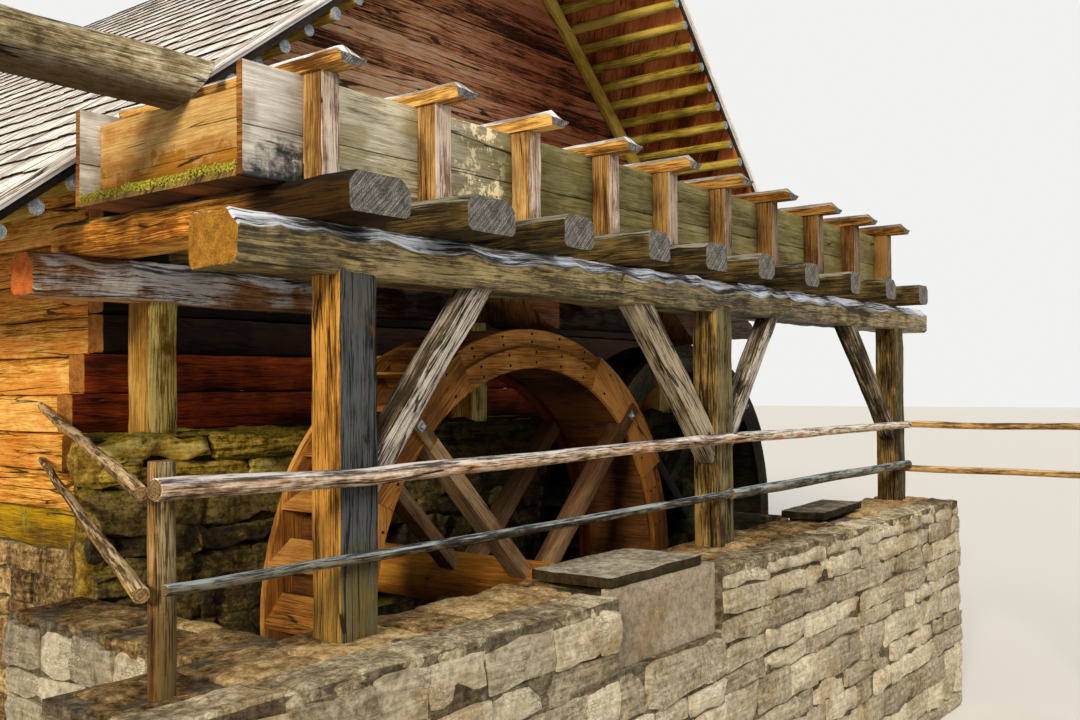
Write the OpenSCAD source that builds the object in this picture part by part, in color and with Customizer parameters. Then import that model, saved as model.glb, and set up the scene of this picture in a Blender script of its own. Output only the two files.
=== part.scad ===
// Log watermill with a timber flume on a post trestle and two overshot wheels in a walled pit.
// X runs along the flume with the water, Y runs from the path towards the mill house, Z is up.
// The origin lies on the pit bed under the front left corner of the first outer post.

/* [Levels] */
// Height of the curb's top over the pit bed
pit_depth = 2250; // [2150:10:2600]
// Height of the rubble wall's ledge over the curb's top
ledge_rise = 1000; // [700:10:1200]
// Height of the side wall's sill over the curb's top
sill_rise = 80; // [40:10:300]

/* [Trestle] */
// Distance from one outer post to the next
bay = 4080; // [4000:10:4600]
// Width of an outer post along the flume
post_w = 270; // [200:5:300]
// Depth of an outer post
post_d = 230; // [180:5:260]
// Height of the beams' underside over the curb's top
beam_rise = 1920; // [1880:10:2200]
// Height of both beams
beam_h = 280; // [240:5:320]
// Depth of the outer beam
outer_beam_d = 400; // [300:5:440]
// Distance that the middle outer post stands nearer to the first
mid_post_drift = 45; // [0:5:100]
// Depth of the inner beam
inner_beam_d = 290; // [260:5:310]
// Length of the outer beam past the first post
beam_left = 630; // [450:10:800]
// Length of the inner beam past the first post
inner_beam_left = 450; // [350:10:700]
// Length of the outer beam past the last post
beam_right = 820; // [600:10:1000]
// Distance from the outer posts' front to the inner posts' front
inner_row = 2350; // [2330:10:2600]
// Width of an inner post along the flume
inner_post_w = 230; // [180:5:280]
// Depth of an inner post
inner_post_d = 250; // [200:5:280]
// Distance from the first outer post to the first inner post
inner_shift = 367; // [100:1:600]
// Distance from one inner post to the next
inner_bay = 3300; // [3100:10:3500]
// Horizontal run of the shortest brace
brace_run = 950; // [800:10:1000]
// Drop of the shortest brace below the beam
brace_drop = 1170; // [900:10:1300]
// Width of the narrowest brace
brace_w = 130; // [110:5:150]
// Thickness of a brace
brace_t = 150; // [80:5:170]
// Distance that a brace stands behind the posts' front
brace_inset = 30; // [10:5:50]

/* [Flume] */
// Number of cross logs and frames
frame_count = 10; // [6:1:10]
// Height of a cross log
cross_log_h = 210; // [180:5:260]
// Length of a cross log in front of the outer posts
cross_log_front = 280; // [150:10:400]
// Length of a cross log behind the inner posts' front
cross_log_back = 290; // [260:10:500]
// Distance from the outer posts' front to the flume's front
flume_setback = 250; // [200:5:350]
// Width of the flume over its side boards
flume_w = 1610; // [1400:10:1700]
// Height of the flume's side boards and frames
flume_h = 590; // [450:10:700]
// Thickness of the flume's side boards
side_t = 50; // [35:1:70]
// Thickness of the flume's floor boards
floor_t = 60; // [40:1:80]
// Length of the flume before the first post
flume_left = 420; // [300:10:600]
// Length of the flume past the last post
flume_right = 590; // [450:10:750]
// Distance that the end boards stand in from the flume's ends
end_inset = 130; // [80:5:200]
// Drop of the end boards' top below the side boards' top
end_drop = 80; // [40:5:200]
// Width of a frame post along the flume
frame_post_w = 140; // [100:5:170]
// Depth of a frame post
frame_post_d = 150; // [110:5:180]
// Width of a frame cap
cap_w = 200; // [150:5:240]
// Thickness of a frame cap
cap_t = 115; // [80:5:140]
// Length of a cap in front of the frame posts
cap_over = 210; // [100:5:260]
// Distance that a cap stops short of the rear frame posts' back
cap_short = 20; // [10:5:60]
// Radius of the feed log
feed_r = 165; // [140:5:200]
// Radius of the channel cut in the feed log
feed_channel_r = 105; // [80:5:115]
// Depth of the feed log's seat in the end board
feed_seat = 45; // [25:5:70]
// Length of the feed log before the end board
feed_len = 3000; // [2400:50:3500]
// Distance from the flume's front to the feed log's axis
feed_y = 750; // [500:10:1000]

/* [Wheels] */
// Outer radius of a wheel
wheel_r = 1895; // [1700:5:1895]
// Depth of the shroud ring and the buckets
shroud_depth = 235; // [200:5:280]
// Thickness of a shroud's planks
shroud_t = 50; // [30:5:60]
// Thickness of the felloes on a shroud
felloe_t = 40; // [20:5:50]
// Distance that the felloes reach in past the shroud
felloe_in = 50; // [30:5:80]
// Width of a narrow felloe
felloe_w = 155; // [120:5:170]
// Width of the first wheel's buckets
bucket_w_1 = 610; // [500:10:610]
// Width of the second wheel's buckets
bucket_w_2 = 430; // [300:10:430]
// Number of buckets on a wheel
bucket_count = 32; // [24:1:40]
// Thickness of a bucket board
bucket_t = 22; // [18:1:30]
// Height of a bucket's riser over the sole
riser_h = 75; // [40:5:100]
// Lean of a bucket board from the radius
bucket_lean = 54; // [30:1:60]
// Thickness of the sole boards
sole_t = 25; // [18:1:35]
// Width of an arm
arm_w = 105; // [90:5:150]
// Thickness of an arm
arm_t = 150; // [80:5:160]
// Thickness of an arm's end where it laps over the felloe
arm_proud = 25; // [15:5:50]
// Distance that the arms stop short of the rim
arm_short = 60; // [40:5:130]
// Radius of the first wheel's shaft
shaft_r_1 = 200; // [160:5:230]
// Radius of the second wheel's shaft
shaft_r_2 = 165; // [150:5:200]
// Drop of the shafts' axis below the curb's top
axis_drop = 150; // [130:5:250]
// Radius of a gudgeon
gudgeon_r = 40; // [25:1:50]
// Length of a gudgeon
gudgeon_len = 330; // [280:5:380]
// Distance from the first outer post to the first wheel's axis
wheel_1_x = 2420; // [2400:10:2500]
// Distance from the first outer post to the second wheel's axis
wheel_2_x = 6200; // [6190:10:6400]
// Distance from the outer posts' front to the first wheel's arms
wheel_1_y = 580; // [560:5:600]
// Distance from the outer posts' front to the second wheel's arms
wheel_2_y = 1470; // [1460:5:1480]
// Running clearance round a gudgeon
gudgeon_gap = 0.3; // [0.2:0.1:1]

/* [Masonry] */
// Width of the curb wall in front of the outer posts
curb_front = 500; // [400:10:600]
// Width of the curb wall behind the outer posts' front
curb_back = 330; // [290:5:340]
// Length of the curb wall before the first outer post
curb_left = 1400; // [1300:10:1600]
// Length of the curb wall past the last outer post
curb_right = 490; // [450:10:800]
// Distance from the outer posts' front to the rubble wall
rubble_y = 2280; // [2260:5:2300]
// Length of the rubble wall before the first outer post
rubble_left = 90; // [20:10:120]
// Thickness of the pit's end wall
end_wall_t = 500; // [300:10:600]
// Thickness of the foundation walls
foundation_t = 500; // [350:10:600]
// Width of a shaft's tunnel and pocket
tunnel_w = 640; // [560:10:700]
// Height of a shaft's tunnel over and under its axis
tunnel_half_h = 330; // [280:10:360]
// Thickness of a cover slab
slab_t = 70; // [50:5:100]
// Height of the cover slabs' underside over the curb's top
slab_rise = 50; // [30:5:80]
// Width of the front plate of the first bearing pocket
plate_w = 1320; // [1100:10:1400]
// Thickness of the front plate
plate_t = 80; // [60:5:120]
// Distance that the front plate stands in from the curb's front
plate_inset = 50; // [20:5:80]
// Drop of the front plate below the curb's top
plate_drop = 450; // [400:10:600]
// Width of a bearing block
bearing_w = 360; // [240:10:500]
// Depth of a bearing block
bearing_d = 200; // [120:10:260]

/* [House] */
// Width of the house over its log walls
house_w = 8800; // [8400:50:9400]
// Length of the house over its log walls
house_l = 7000; // [6700:50:8000]
// Distance from the outer posts' front to the gable wall
house_y = 3300; // [3200:10:3600]
// Distance from the first outer post to the left log wall
house_x = 590; // [400:10:800]
// Thickness of the log walls
log_t = 220; // [160:5:260]
// Height of one log
log_h = 300; // [250:5:340]
// Depth of the rounding between two logs
log_round = 18; // [8:1:30]
// Thickness of the gable boards
gable_t = 80; // [40:5:120]
// Pitch of the left roof slope
left_pitch = 38; // [34:0.5:42]
// Pitch of the right roof slope
right_pitch = 42; // [38:0.5:45]
// Distance from the left log wall to the ridge
ridge_in = 4560; // [4300:10:4700]
// Height of the ridge's top over the curb's top
ridge_rise = 7050; // [6800:10:7300]
// Thickness of the roof's shingle layer
roof_t = 90; // [60:5:130]
// Width of the roof past the left wall
left_eave = 1540; // [1200:10:1700]
// Width of the roof past the right wall
right_eave = 700; // [500:10:900]
// Length of the roof past the gable at the eaves
verge_over = 1220; // [900:10:1300]
// Lean of the verge for each unit of slope
verge_lean = 0.05; // [0:0.01:0.1]
// Radius of a roof pole
pole_r = 65; // [45:5:80]
// Spacing of the roof poles along the slope
pole_pitch = 280; // [240:10:400]
// Depth of the gable's slanting boards
rafter_h = 170; // [120:5:220]
// Thickness of the gable's slanting boards
rafter_t = 70; // [40:5:100]

/* [Railing] */
// Height of the top rail over the curb's top
rail_top = 875; // [800:5:1000]
// Height of the lower rail over the curb's top
rail_low = 450; // [350:5:550]
// Radius of the top rail
rail_top_r = 45; // [30:1:60]
// Radius of the lower rail
rail_low_r = 30; // [25:1:45]
// Radius of a side rail
side_rail_r = 38; // [28:1:50]
// Radius of a railing post
rail_post_r = 63; // [50:1:90]
// Height of a railing post over the curb's top
rail_post_h = 1020; // [950:10:1200]
// Distance from the first outer post to the corner post
corner_x = 1085; // [900:5:1250]
// Length of the forecourt rails
court_len = 2400; // [1500:50:3000]
// Distance from the gable wall to the side rails' far end
side_rail_end = 880; // [600:10:1500]
// Rise of the side rails to their far end
side_rail_rise = 300; // [0:10:400]

/* [Hidden] */

$fn = 48;
big = 40000;
rest_gap = 0.5;

post_count = 3;
last_post = (post_count - 1) * bay;
curb_top = pit_depth;
ledge_top = curb_top + ledge_rise;
sill_z = curb_top + sill_rise;
beam_z = curb_top + beam_rise;
beam_top = beam_z + beam_h;
deck_z = beam_top + cross_log_h;
axis_z = curb_top - axis_drop;
flume_x0 = -flume_left;
flume_x1 = last_post + flume_right;
flume_y0 = flume_setback;
flume_y1 = flume_setback + flume_w;
side_top = deck_z + flume_h;
house_x1 = house_x + house_w;
house_y1 = house_y + house_l;
ridge_x = house_x + ridge_in;
ridge_z = curb_top + ridge_rise;
wheel_x = [wheel_1_x, wheel_2_x];
wheel_y = [wheel_1_y, wheel_2_y];
bucket_w = [bucket_w_1, bucket_w_2];
shroud_inner = wheel_r - shroud_depth;
shaft_r = [shaft_r_1, shaft_r_2];
shaft_y0 = curb_back + 120;
shaft_y1 = house_y - 120;
bearing_y0 = shaft_y0 - gudgeon_len + 20;
rear_bearing_y0 = shaft_y1 + 60;

// Places and widths of the hewn cross logs, which stand a little uneven
frame_pitch = (last_post + 120) / 9;
frame_drift = [30, -20, -60, -50, -140, -150, -170, -60, -30, 10];
log_widths = [430, 420, 330, 290, 340, 300, 310, 250, 300, 300];
function frame_x(i) = i * frame_pitch + frame_drift[i];

// Part of a hewn log's diagonal that the round stem it is cut from leaves
hewn = 0.93;

// A log lying along Y, hewn on four sides from a round stem
module log_along_y(length, w, h) {
    rotate([-90, 0, 0]) linear_extrude(length) intersection() {
        square([w, h], center = true);
        circle(d = sqrt(w * w + h * h) * hewn);
    }
}

// A log lying along X, hewn on four sides from a round stem
module log_along_x(length, w, h) {
    rotate([90, 0, 90]) linear_extrude(length) intersection() {
        square([w, h], center = true);
        circle(d = sqrt(w * w + h * h) * hewn);
    }
}

module upright(x, y, z0, z1, w, d) {
    translate([x, y, z0]) cube([w, d, z1 - z0]);
}

// Masonry
slab_x0 = [wheel_1_x - 540, wheel_2_x - 420];
slab_y0 = [-430, -155];
slab_w = [1100, 1150];
slab_d = [630, 420];
slab_turn = [0, 4.5];
pocket_y0 = [plate_inset + plate_t - curb_front, slab_y0[1] + 110];
pocket_left = [tunnel_w / 2, 215];

module pocket(i) {
    translate([wheel_x[i] - pocket_left[i], pocket_y0[i], axis_z - tunnel_half_h])
        cube([pocket_left[i] + tunnel_w / 2, curb_back + 1 - pocket_y0[i], curb_top + 1]);
}

module tunnel(i) {
    translate([wheel_x[i] - tunnel_w / 2, rubble_y - 1, axis_z - tunnel_half_h])
        cube([tunnel_w, house_y + log_t - rubble_y + 2, 2 * tunnel_half_h]);
}

module curb_wall() {
    color("gray") difference() {
        translate([-curb_left, -curb_front, 0])
            cube([curb_left + last_post + curb_right, curb_front + curb_back, curb_top]);
        pocket(0);
        pocket(1);
        translate([plate_x0, -curb_front - 1, curb_top - plate_drop])
            cube([plate_w, plate_inset + plate_t + 1, plate_drop + 1]);
    }
}

plate_x0 = wheel_1_x - 600;
module front_plate() {
    color("silver") translate([plate_x0, plate_inset - curb_front, curb_top - plate_drop])
        cube([plate_w, plate_t, plate_drop + slab_rise]);
}

module pit_end_wall() {
    color("dimgray")
        translate([-end_wall_t - 100, curb_back, 0])
            cube([end_wall_t, rubble_y - curb_back, curb_top]);
}

rubble_x1 = house_x1 - 290;
module rubble_wall() {
    color("olivedrab") difference() {
        linear_extrude(ledge_top)
            polygon([[-rubble_left, rubble_y], [rubble_x1, rubble_y], [house_x1, house_y],
                     [house_x1, house_y + log_t], [house_x, house_y + log_t], [house_x - 130, house_y]]);
        tunnel(0);
        tunnel(1);
    }
}

foundation_y0 = house_y + log_t;
module left_foundation() {
    color("slategray") translate([house_x, foundation_y0, 0])
        cube([foundation_t, house_y1 - foundation_y0, sill_z]);
}
module right_foundation() {
    color("slategray") translate([house_x1 - foundation_t, foundation_y0, 0])
        cube([foundation_t, house_y1 - foundation_y0, sill_z]);
}
module back_foundation() {
    color("slategray") translate([house_x + foundation_t, house_y1 - foundation_t, 0])
        cube([house_w - 2 * foundation_t, foundation_t, sill_z]);
}

rest_w = 90;
rest_inset = 60;
module slab_rests() {
    color("dimgray") for (i = [0, 1])
        translate([slab_x0[i], slab_y0[i], curb_top]) rotate([0, 0, slab_turn[i]])
            for (x = [rest_inset, slab_w[i] - rest_inset - rest_w])
                translate([x, 100, 0]) cube([rest_w, slab_d[i] - 160, slab_rise]);
}

module cover_slabs() {
    color("darkgray") for (i = [0, 1])
        translate([slab_x0[i], slab_y0[i], curb_top + slab_rise]) rotate([0, 0, slab_turn[i]])
            cube([slab_w[i], slab_d[i], slab_t]);
}

module bearing_blocks() {
    color("saddlebrown") for (x = wheel_x, y = [bearing_y0, rear_bearing_y0]) difference() {
        translate([x - bearing_w / 2, y, axis_z - tunnel_half_h])
            cube([bearing_w, bearing_d, tunnel_half_h]);
        translate([x, y - 1, axis_z]) rotate([-90, 0, 0])
            cylinder(r = gudgeon_r + gudgeon_gap, h = bearing_d + 2);
    }
}

// Trestle
post_x = [0, bay - mid_post_drift, 2 * bay];
module outer_posts() {
    color("peru") for (x = post_x) upright(x, 0, curb_top, beam_z, post_w, post_d);
}

module inner_posts() {
    color("burlywood") for (i = [0 : post_count - 1])
        upright(inner_shift + i * inner_bay, inner_row, ledge_top, beam_z, inner_post_w, inner_post_d);
}

beam_length = last_post + post_w + beam_left + beam_right;
module outer_beam() {
    color("olive") translate([-beam_left, outer_beam_d / 2, beam_z + beam_h / 2])
        log_along_x(beam_length, outer_beam_d, beam_h);
}

module inner_beam() {
    color("sienna") translate([-inner_beam_left, inner_row + inner_post_d / 2 - 30, beam_z + beam_h / 2])
        log_along_x(beam_length - beam_left + inner_beam_left, inner_beam_d, beam_h);
}

// One brace from a post's side up to the beam, as a slanting timber
module brace(x, side, more_run, more_drop, more_w) {
    run = brace_run + more_run;
    drop = brace_drop + more_drop;
    w = brace_w + more_w;
    slant = sqrt(run * run + drop * drop);
    translate([x, brace_inset + brace_t, beam_z]) rotate([90, 0, 0]) linear_extrude(brace_t)
        polygon([[0, -drop], [side * run, 0], [side * (run - w * slant / drop), 0],
                 [0, w * slant / run - drop]]);
}

module braces() {
    color("silver") {
        brace(post_x[0] + post_w, 1, 50, 30, 20);
        brace(post_x[1], -1, 230, 100, 70);
        brace(post_x[1] + post_w, 1, 0, 0, 0);
        brace(post_x[2], -1, 350, 80, 40);
    }
}

module cross_logs() {
    color("tan") for (i = [0 : frame_count - 1])
        translate([frame_x(i), -cross_log_front, beam_top + cross_log_h / 2])
            log_along_y(cross_log_front + inner_row + cross_log_back, log_widths[i], cross_log_h);
}

// Flume
function bucket_y0(i) = wheel_y[i] + arm_proud + felloe_t + shroud_t;
function bucket_y1(i) = bucket_y0(i) + bucket_w[i];
inlet_frame = [3, 7];
board_t = 35;
inlet_w = 300;
function inlet_x(i) = wheel_x[i] - 470;
function chute_y0(i) = bucket_y0(i) + 20;
function chute_y1(i) = bucket_y1(i) - 20;
function inlet_y1(i) = min(chute_y1(i) - board_t, flume_y1 - side_t - 20);

module flume_floor() {
    color("darkkhaki") difference() {
        translate([flume_x0, flume_y0 + side_t, deck_z])
            cube([flume_x1 - flume_x0, flume_w - 2 * side_t, floor_t]);
        for (i = [0, 1])
            translate([inlet_x(i), chute_y0(i) + board_t, deck_z - 1])
                cube([inlet_w, inlet_y1(i) - chute_y0(i) - board_t, floor_t + 2]);
    }
}

module flume_sides() {
    color("darkseagreen") for (y = [flume_y0, flume_y1 - side_t])
        translate([flume_x0, y, deck_z]) cube([flume_x1 - flume_x0, side_t, flume_h]);
}

feed_axis_y = flume_y0 + feed_y;
end_h = flume_h - floor_t - end_drop;
feed_axis_z = deck_z + floor_t + end_h - feed_seat + feed_r;
waste_drop = 190;
module flume_ends() {
    color("goldenrod") {
        difference() {
            translate([flume_x0 + end_inset, flume_y0 + side_t, deck_z + floor_t])
                cube([side_t, flume_w - 2 * side_t, end_h]);
            translate([flume_x0, feed_axis_y, feed_axis_z]) rotate([0, 90, 0])
                cylinder(r = feed_r + rest_gap, h = end_inset * 3);
        }
        translate([flume_x1 - end_inset - side_t, flume_y0 + side_t, deck_z + floor_t])
            cube([side_t, flume_w - 2 * side_t, end_h - waste_drop]);
    }
}

module frame_posts() {
    color("chocolate") for (i = [0 : frame_count - 1], y = [flume_y0 - frame_post_d, flume_y1])
        upright(frame_x(i) - frame_post_w / 2, y, deck_z, side_top, frame_post_w, frame_post_d);
}

// A cap is split from a log: high on the left, thin on the right, with its front end cut back above
module frame_caps() {
    length = flume_w + 2 * frame_post_d + cap_over - cap_short;
    low = cap_t * 0.55;
    half = cap_w / 2;
    color("whitesmoke") for (i = [0 : frame_count - 1])
        translate([frame_x(i), flume_y0 - frame_post_d - cap_over, side_top]) intersection() {
            translate([0, length, 0]) rotate([90, 0, 0]) linear_extrude(length)
                polygon([[-half, 0], [half * 0.4, 0], [half, cap_t * 0.4], [half, cap_t * 0.65],
                         [-half * 0.4, cap_t], [-half, cap_t * 0.75]]);
            translate([-half, 0, 0]) rotate([90, 0, 90]) linear_extrude(cap_w)
                polygon([[0, 0], [length, 0], [length, cap_t], [cap_t - low, cap_t], [0, low]]);
        }
}

// A chute takes water from the floor's inlet down to the buckets behind the wheel's top
chute_end = 430;
chute_low = 20;
chute_rise = 42;
chute_top = deck_z - axis_z - wheel_r;
chute_under = beam_top - axis_z - wheel_r - 5;
module chute_profile(i, x_in, z_in, z_out) {
    step = frame_x(inlet_frame[i]) - log_widths[inlet_frame[i]] / 2 - 15 - wheel_x[i];
    end = chute_end + z_out;
    polygon([[-470, chute_top + z_in], [30, 220 + z_in], [280, chute_low + 35 + z_in],
             [end, chute_low + z_in], [end, chute_under + z_out],
             [step - x_in, chute_under + z_out], [step - x_in, chute_top + z_in + z_out],
             [-470, chute_top + z_in + z_out]]);
}
module chutes() {
    color("rosybrown") for (i = [0, 1]) translate([wheel_x[i], 0, axis_z + wheel_r]) difference() {
        translate([0, chute_y1(i), 0]) rotate([90, 0, 0])
            linear_extrude(chute_y1(i) - chute_y0(i)) chute_profile(i, 0, 0, 0);
        translate([0, chute_y1(i) - board_t, 0]) rotate([90, 0, 0])
            linear_extrude(chute_y1(i) - chute_y0(i) - 2 * board_t) chute_profile(i, board_t, chute_rise, 1);
    }
}

// The feed log's end is cut slanting, with its upper edge over the trough
feed_tip = frame_x(0) - cap_w / 2 - 5;
feed_slant = 35;
module feed_log() {
    start = flume_x0 + end_inset - feed_len;
    color("darkkhaki") difference() {
        translate([start, feed_axis_y, feed_axis_z]) rotate([90, 0, 90])
            linear_extrude(feed_tip - start) difference() {
                circle(r = feed_r);
                hull() {
                    translate([0, feed_r * 0.25]) circle(r = feed_channel_r);
                    translate([0, feed_r * 2]) circle(r = feed_channel_r);
                }
            }
        translate([feed_tip, feed_axis_y - feed_r - 10, feed_axis_z + feed_r]) rotate([0, feed_slant, 0])
            translate([0, 0, -4 * feed_r]) cube([4 * feed_r, 2 * feed_r + 20, 4 * feed_r]);
    }
}

trestle_x = flume_x0 + end_inset - feed_len + 300;
trestle_span = 900;
trestle_log = 200;
trestle_log_z = feed_axis_z - feed_r - 150;
module feed_trestle() {
    color("burlywood") {
        for (side = [-1, 1])
            upright(trestle_x, feed_axis_y + side * (trestle_span / 2 - 100) - 80, 0,
                    trestle_log_z + trestle_log / 2, 180, 160);
        difference() {
            translate([trestle_x + 90, feed_axis_y - trestle_span / 2, trestle_log_z + trestle_log / 2])
                log_along_y(trestle_span, trestle_log, trestle_log);
            translate([trestle_x - 100, feed_axis_y, feed_axis_z]) rotate([0, 90, 0])
                cylinder(r = feed_r + rest_gap, h = 500);
        }
    }
}

// House
// Height of the poles' underside at x, where the walls and slanting boards end
pole_flat = 0.7 * pole_r;
under_depth = roof_t + pole_flat + pole_r + rest_gap;
left_drop = under_depth / cos(left_pitch);
right_drop = under_depth / cos(right_pitch);
function left_line(x) = ridge_z - (ridge_x - x) * tan(left_pitch) - left_drop;
function right_line(x) = ridge_z - (x - ridge_x) * tan(right_pitch) - right_drop;
under_ridge_x = ridge_x + (left_drop - right_drop) / (tan(left_pitch) + tan(right_pitch));

// One wall of stacked logs along X, rounded on both faces between the logs
module log_stack(length, z0, count) {
    for (k = [0 : count - 1])
        translate([0, 0, z0 + k * log_h]) rotate([90, 0, 90]) linear_extrude(length)
            polygon([[0, log_round], [log_round, 0], [log_t - log_round, 0], [log_t, log_round],
                     [log_t, log_h - log_round], [log_t - log_round, log_h],
                     [log_round, log_h], [0, log_h - log_round]]);
}

corner_steps = [240, 150];
front_courses = floor((left_line(house_x) - ledge_top) / log_h);
side_courses = ceil((left_line(house_x + log_t) - sill_z) / log_h);

// The space under the roof poles, from the ground up
module under_roof() {
    x0 = house_x - 1000;
    x1 = house_x1 + 500;
    translate([0, big / 2, 0]) rotate([90, 0, 0]) linear_extrude(big)
        polygon([[x0, 0], [x1, 0], [x1, right_line(x1)],
                 [under_ridge_x, left_line(under_ridge_x)], [x0, left_line(x0)]]);
}

module front_log_wall() {
    color("sienna") {
        intersection() {
            translate([house_x, house_y, 0]) log_stack(house_w, ledge_top, front_courses);
            under_roof();
        }
        for (k = [0, 1]) translate([house_x - corner_steps[k], house_y, 0])
            log_stack(corner_steps[k] + log_t, ledge_top + k * log_h, 1);
    }
}

module side_wall(x) {
    intersection() {
        translate([x + log_t, house_y + log_t, 0]) rotate([0, 0, 90])
            log_stack(house_l - 2 * log_t, sill_z, side_courses);
        under_roof();
    }
}

// The third log of the left wall ends early beside the rubble wall
short_log = 380;
module left_log_wall() {
    color("goldenrod") difference() {
        side_wall(house_x);
        translate([house_x - 1, house_y + log_t - 1, sill_z + 2 * log_h])
            cube([log_t + 2, short_log, log_h]);
    }
}
module right_log_wall() { color("goldenrod") side_wall(house_x1 - log_t); }

back_courses = floor((left_line(house_x) - sill_z) / log_h);
module back_log_wall() {
    color("sienna") intersection() {
        translate([house_x, house_y1 - log_t, 0]) log_stack(house_w, sill_z, back_courses);
        under_roof();
    }
}

module gables() {
    color("brown") {
        intersection() {
            translate([house_x, house_y, ledge_top + front_courses * log_h]) cube([house_w, gable_t, big]);
            under_roof();
        }
        intersection() {
            translate([house_x, house_y1 - gable_t, sill_z + back_courses * log_h])
                cube([house_w, gable_t, big]);
            under_roof();
        }
    }
}

// A pair of slanting boards that meet a finger's breadth apart under the ridge
module rafter_pair(y) {
    left_cut = rafter_h / cos(left_pitch);
    right_cut = rafter_h / cos(right_pitch);
    a = under_ridge_x - rest_gap / 2;
    b = under_ridge_x + rest_gap / 2;
    x0 = house_x - 400;
    x1 = house_x1 + 400;
    translate([0, y + rafter_t, 0]) rotate([90, 0, 0]) linear_extrude(rafter_t) {
        polygon([[x0, left_line(x0)], [a, left_line(a)], [a, left_line(a) - left_cut],
                 [x0, left_line(x0) - left_cut]]);
        polygon([[x1, right_line(x1)], [b, right_line(b)], [b, right_line(b) - right_cut],
                 [x1, right_line(x1) - right_cut]]);
    }
}
module gable_rafters() {
    color("peru") {
        rafter_pair(house_y - rafter_t);
        rafter_pair(house_y1);
    }
}

// A roof slope in its own plane: x up the slope from the eave, z out of the roof
function slope_len(run, pitch) = run / cos(pitch);
left_len = slope_len(ridge_in + left_eave, left_pitch);
right_len = slope_len(house_w - ridge_in + right_eave, right_pitch);
function verge_y0(s) = house_y - verge_over - s * verge_lean;
function verge_y1(s) = house_y1 + verge_over + s * verge_lean;

module on_left_slope() {
    translate([ridge_x, 0, ridge_z]) rotate([0, -left_pitch, 0]) translate([-left_len, 0, 0]) children();
}
module on_right_slope() {
    translate([ridge_x, 0, ridge_z]) rotate([0, right_pitch, 0]) mirror([1, 0, 0])
        translate([-right_len, 0, 0]) children();
}

module slope_slab(length) {
    translate([0, 0, -roof_t]) linear_extrude(roof_t)
        polygon([[0, verge_y0(0)], [length, verge_y0(length)],
                 [length, verge_y1(length)], [0, verge_y1(0)]]);
}

module slope_poles(length) {
    for (s = [120 : pole_pitch : length - pole_r - roof_t * 2])
        translate([s, verge_y0(s) + 25, -roof_t - pole_flat]) rotate([-90, 0, 0])
            linear_extrude(verge_y1(s) - verge_y0(s) - 50) intersection() {
                circle(r = pole_r);
                translate([-pole_r, -pole_flat]) square([2 * pole_r, 2 * pole_r]);
            }
}

module roof_left() {
    color("lightgray") difference() {
        on_left_slope() slope_slab(left_len);
        translate([ridge_x, -big / 2, 0]) cube(big);
    }
}
module roof_right() {
    color("lightgray") difference() {
        on_right_slope() slope_slab(right_len);
        translate([ridge_x - big, -big / 2, 0]) cube(big);
    }
}
module roof_poles() {
    color("olive") {
        on_left_slope() slope_poles(left_len);
        on_right_slope() slope_poles(right_len);
    }
}

// Railing
corner_y = -80;
court_x = last_post + post_w;
module railing_posts() {
    color("tan") {
        translate([-corner_x, corner_y, curb_top]) cylinder(r = rail_post_r, h = rail_post_h);
        translate([court_x - rail_post_r, -court_len, 0])
            cylinder(r = rail_post_r, h = curb_top + rail_post_h);
    }
}

module pole_between(a, b, r) {
    d = b - a;
    length = norm(d);
    translate(a) rotate([0, acos(d[2] / length), atan2(d[1], d[0])]) cylinder(r = r, h = length);
}

// A rail leans on the posts' front, and its first pole passes in front of the corner post
butt_gap = 0.006;
rail_past = 100;
rail_clear = 1.2;
joint_x = post_x[1] + post_w / 2;
module rail_line(r, z, last_r, last_z, last_x) {
    y = -r - rest_gap;
    at_post = corner_y - rail_post_r - r - rail_clear;
    lean = (y - at_post) / (corner_x + post_w / 2);
    start = [-corner_x - rail_past, at_post - lean * rail_past, curb_top + z[0]];
    bend = [post_w / 2, y, curb_top + z[1]];
    joint = [joint_x, y, curb_top + z[2]];
    pole_between(start, bend + (start - bend) * butt_gap, r);
    pole_between(bend, joint, r);
    pole_between([joint_x + 2, -last_r - rest_gap, curb_top + last_z[0]],
                 [last_x, -last_r - rest_gap, curb_top + last_z[1]], last_r);
}
module front_rails() {
    color("lightslategray") {
        rail_line(rail_top_r, [rail_top + 35, rail_top - 15, rail_top + 15],
                  rail_top_r, [rail_top + 15, rail_top - 25], court_x);
        rail_line(rail_low_r, [rail_low + 30, rail_low - 10, rail_low - 20],
                  rail_low_r + 15, [rail_low - 20, rail_low - 40], court_x - 50);
    }
}

// Two rails climb along the ditch's end to the left wall and two close off the forecourt
side_rail_clear = 38;
rail_end_reach = 0.93;
module side_rails() {
    near = [-corner_x - rail_post_r - side_rail_r - side_rail_clear, corner_y - 60];
    color("tan") {
        for (z = [rail_top + 20, rail_low + 20])
            pole_between([near[0], near[1], curb_top + z],
                         [house_x - side_rail_r * rail_end_reach, house_y + side_rail_end,
                          curb_top + z + side_rail_rise], side_rail_r);
        for (z = [rail_top - 20, rail_low - 90])
            translate([court_x + side_rail_r, -court_len - 100, curb_top + z]) rotate([-90, 0, 0])
                cylinder(r = side_rail_r, h = court_len + 100 + post_d);
    }
}

// Water wheels
module on_axis(i, y) {
    translate([wheel_x[i], y, axis_z]) rotate([-90, 0, 0]) children();
}

function far_shroud_y(i) = bucket_y1(i);
function far_lap_y(i) = far_shroud_y(i) + shroud_t + felloe_t;

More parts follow.
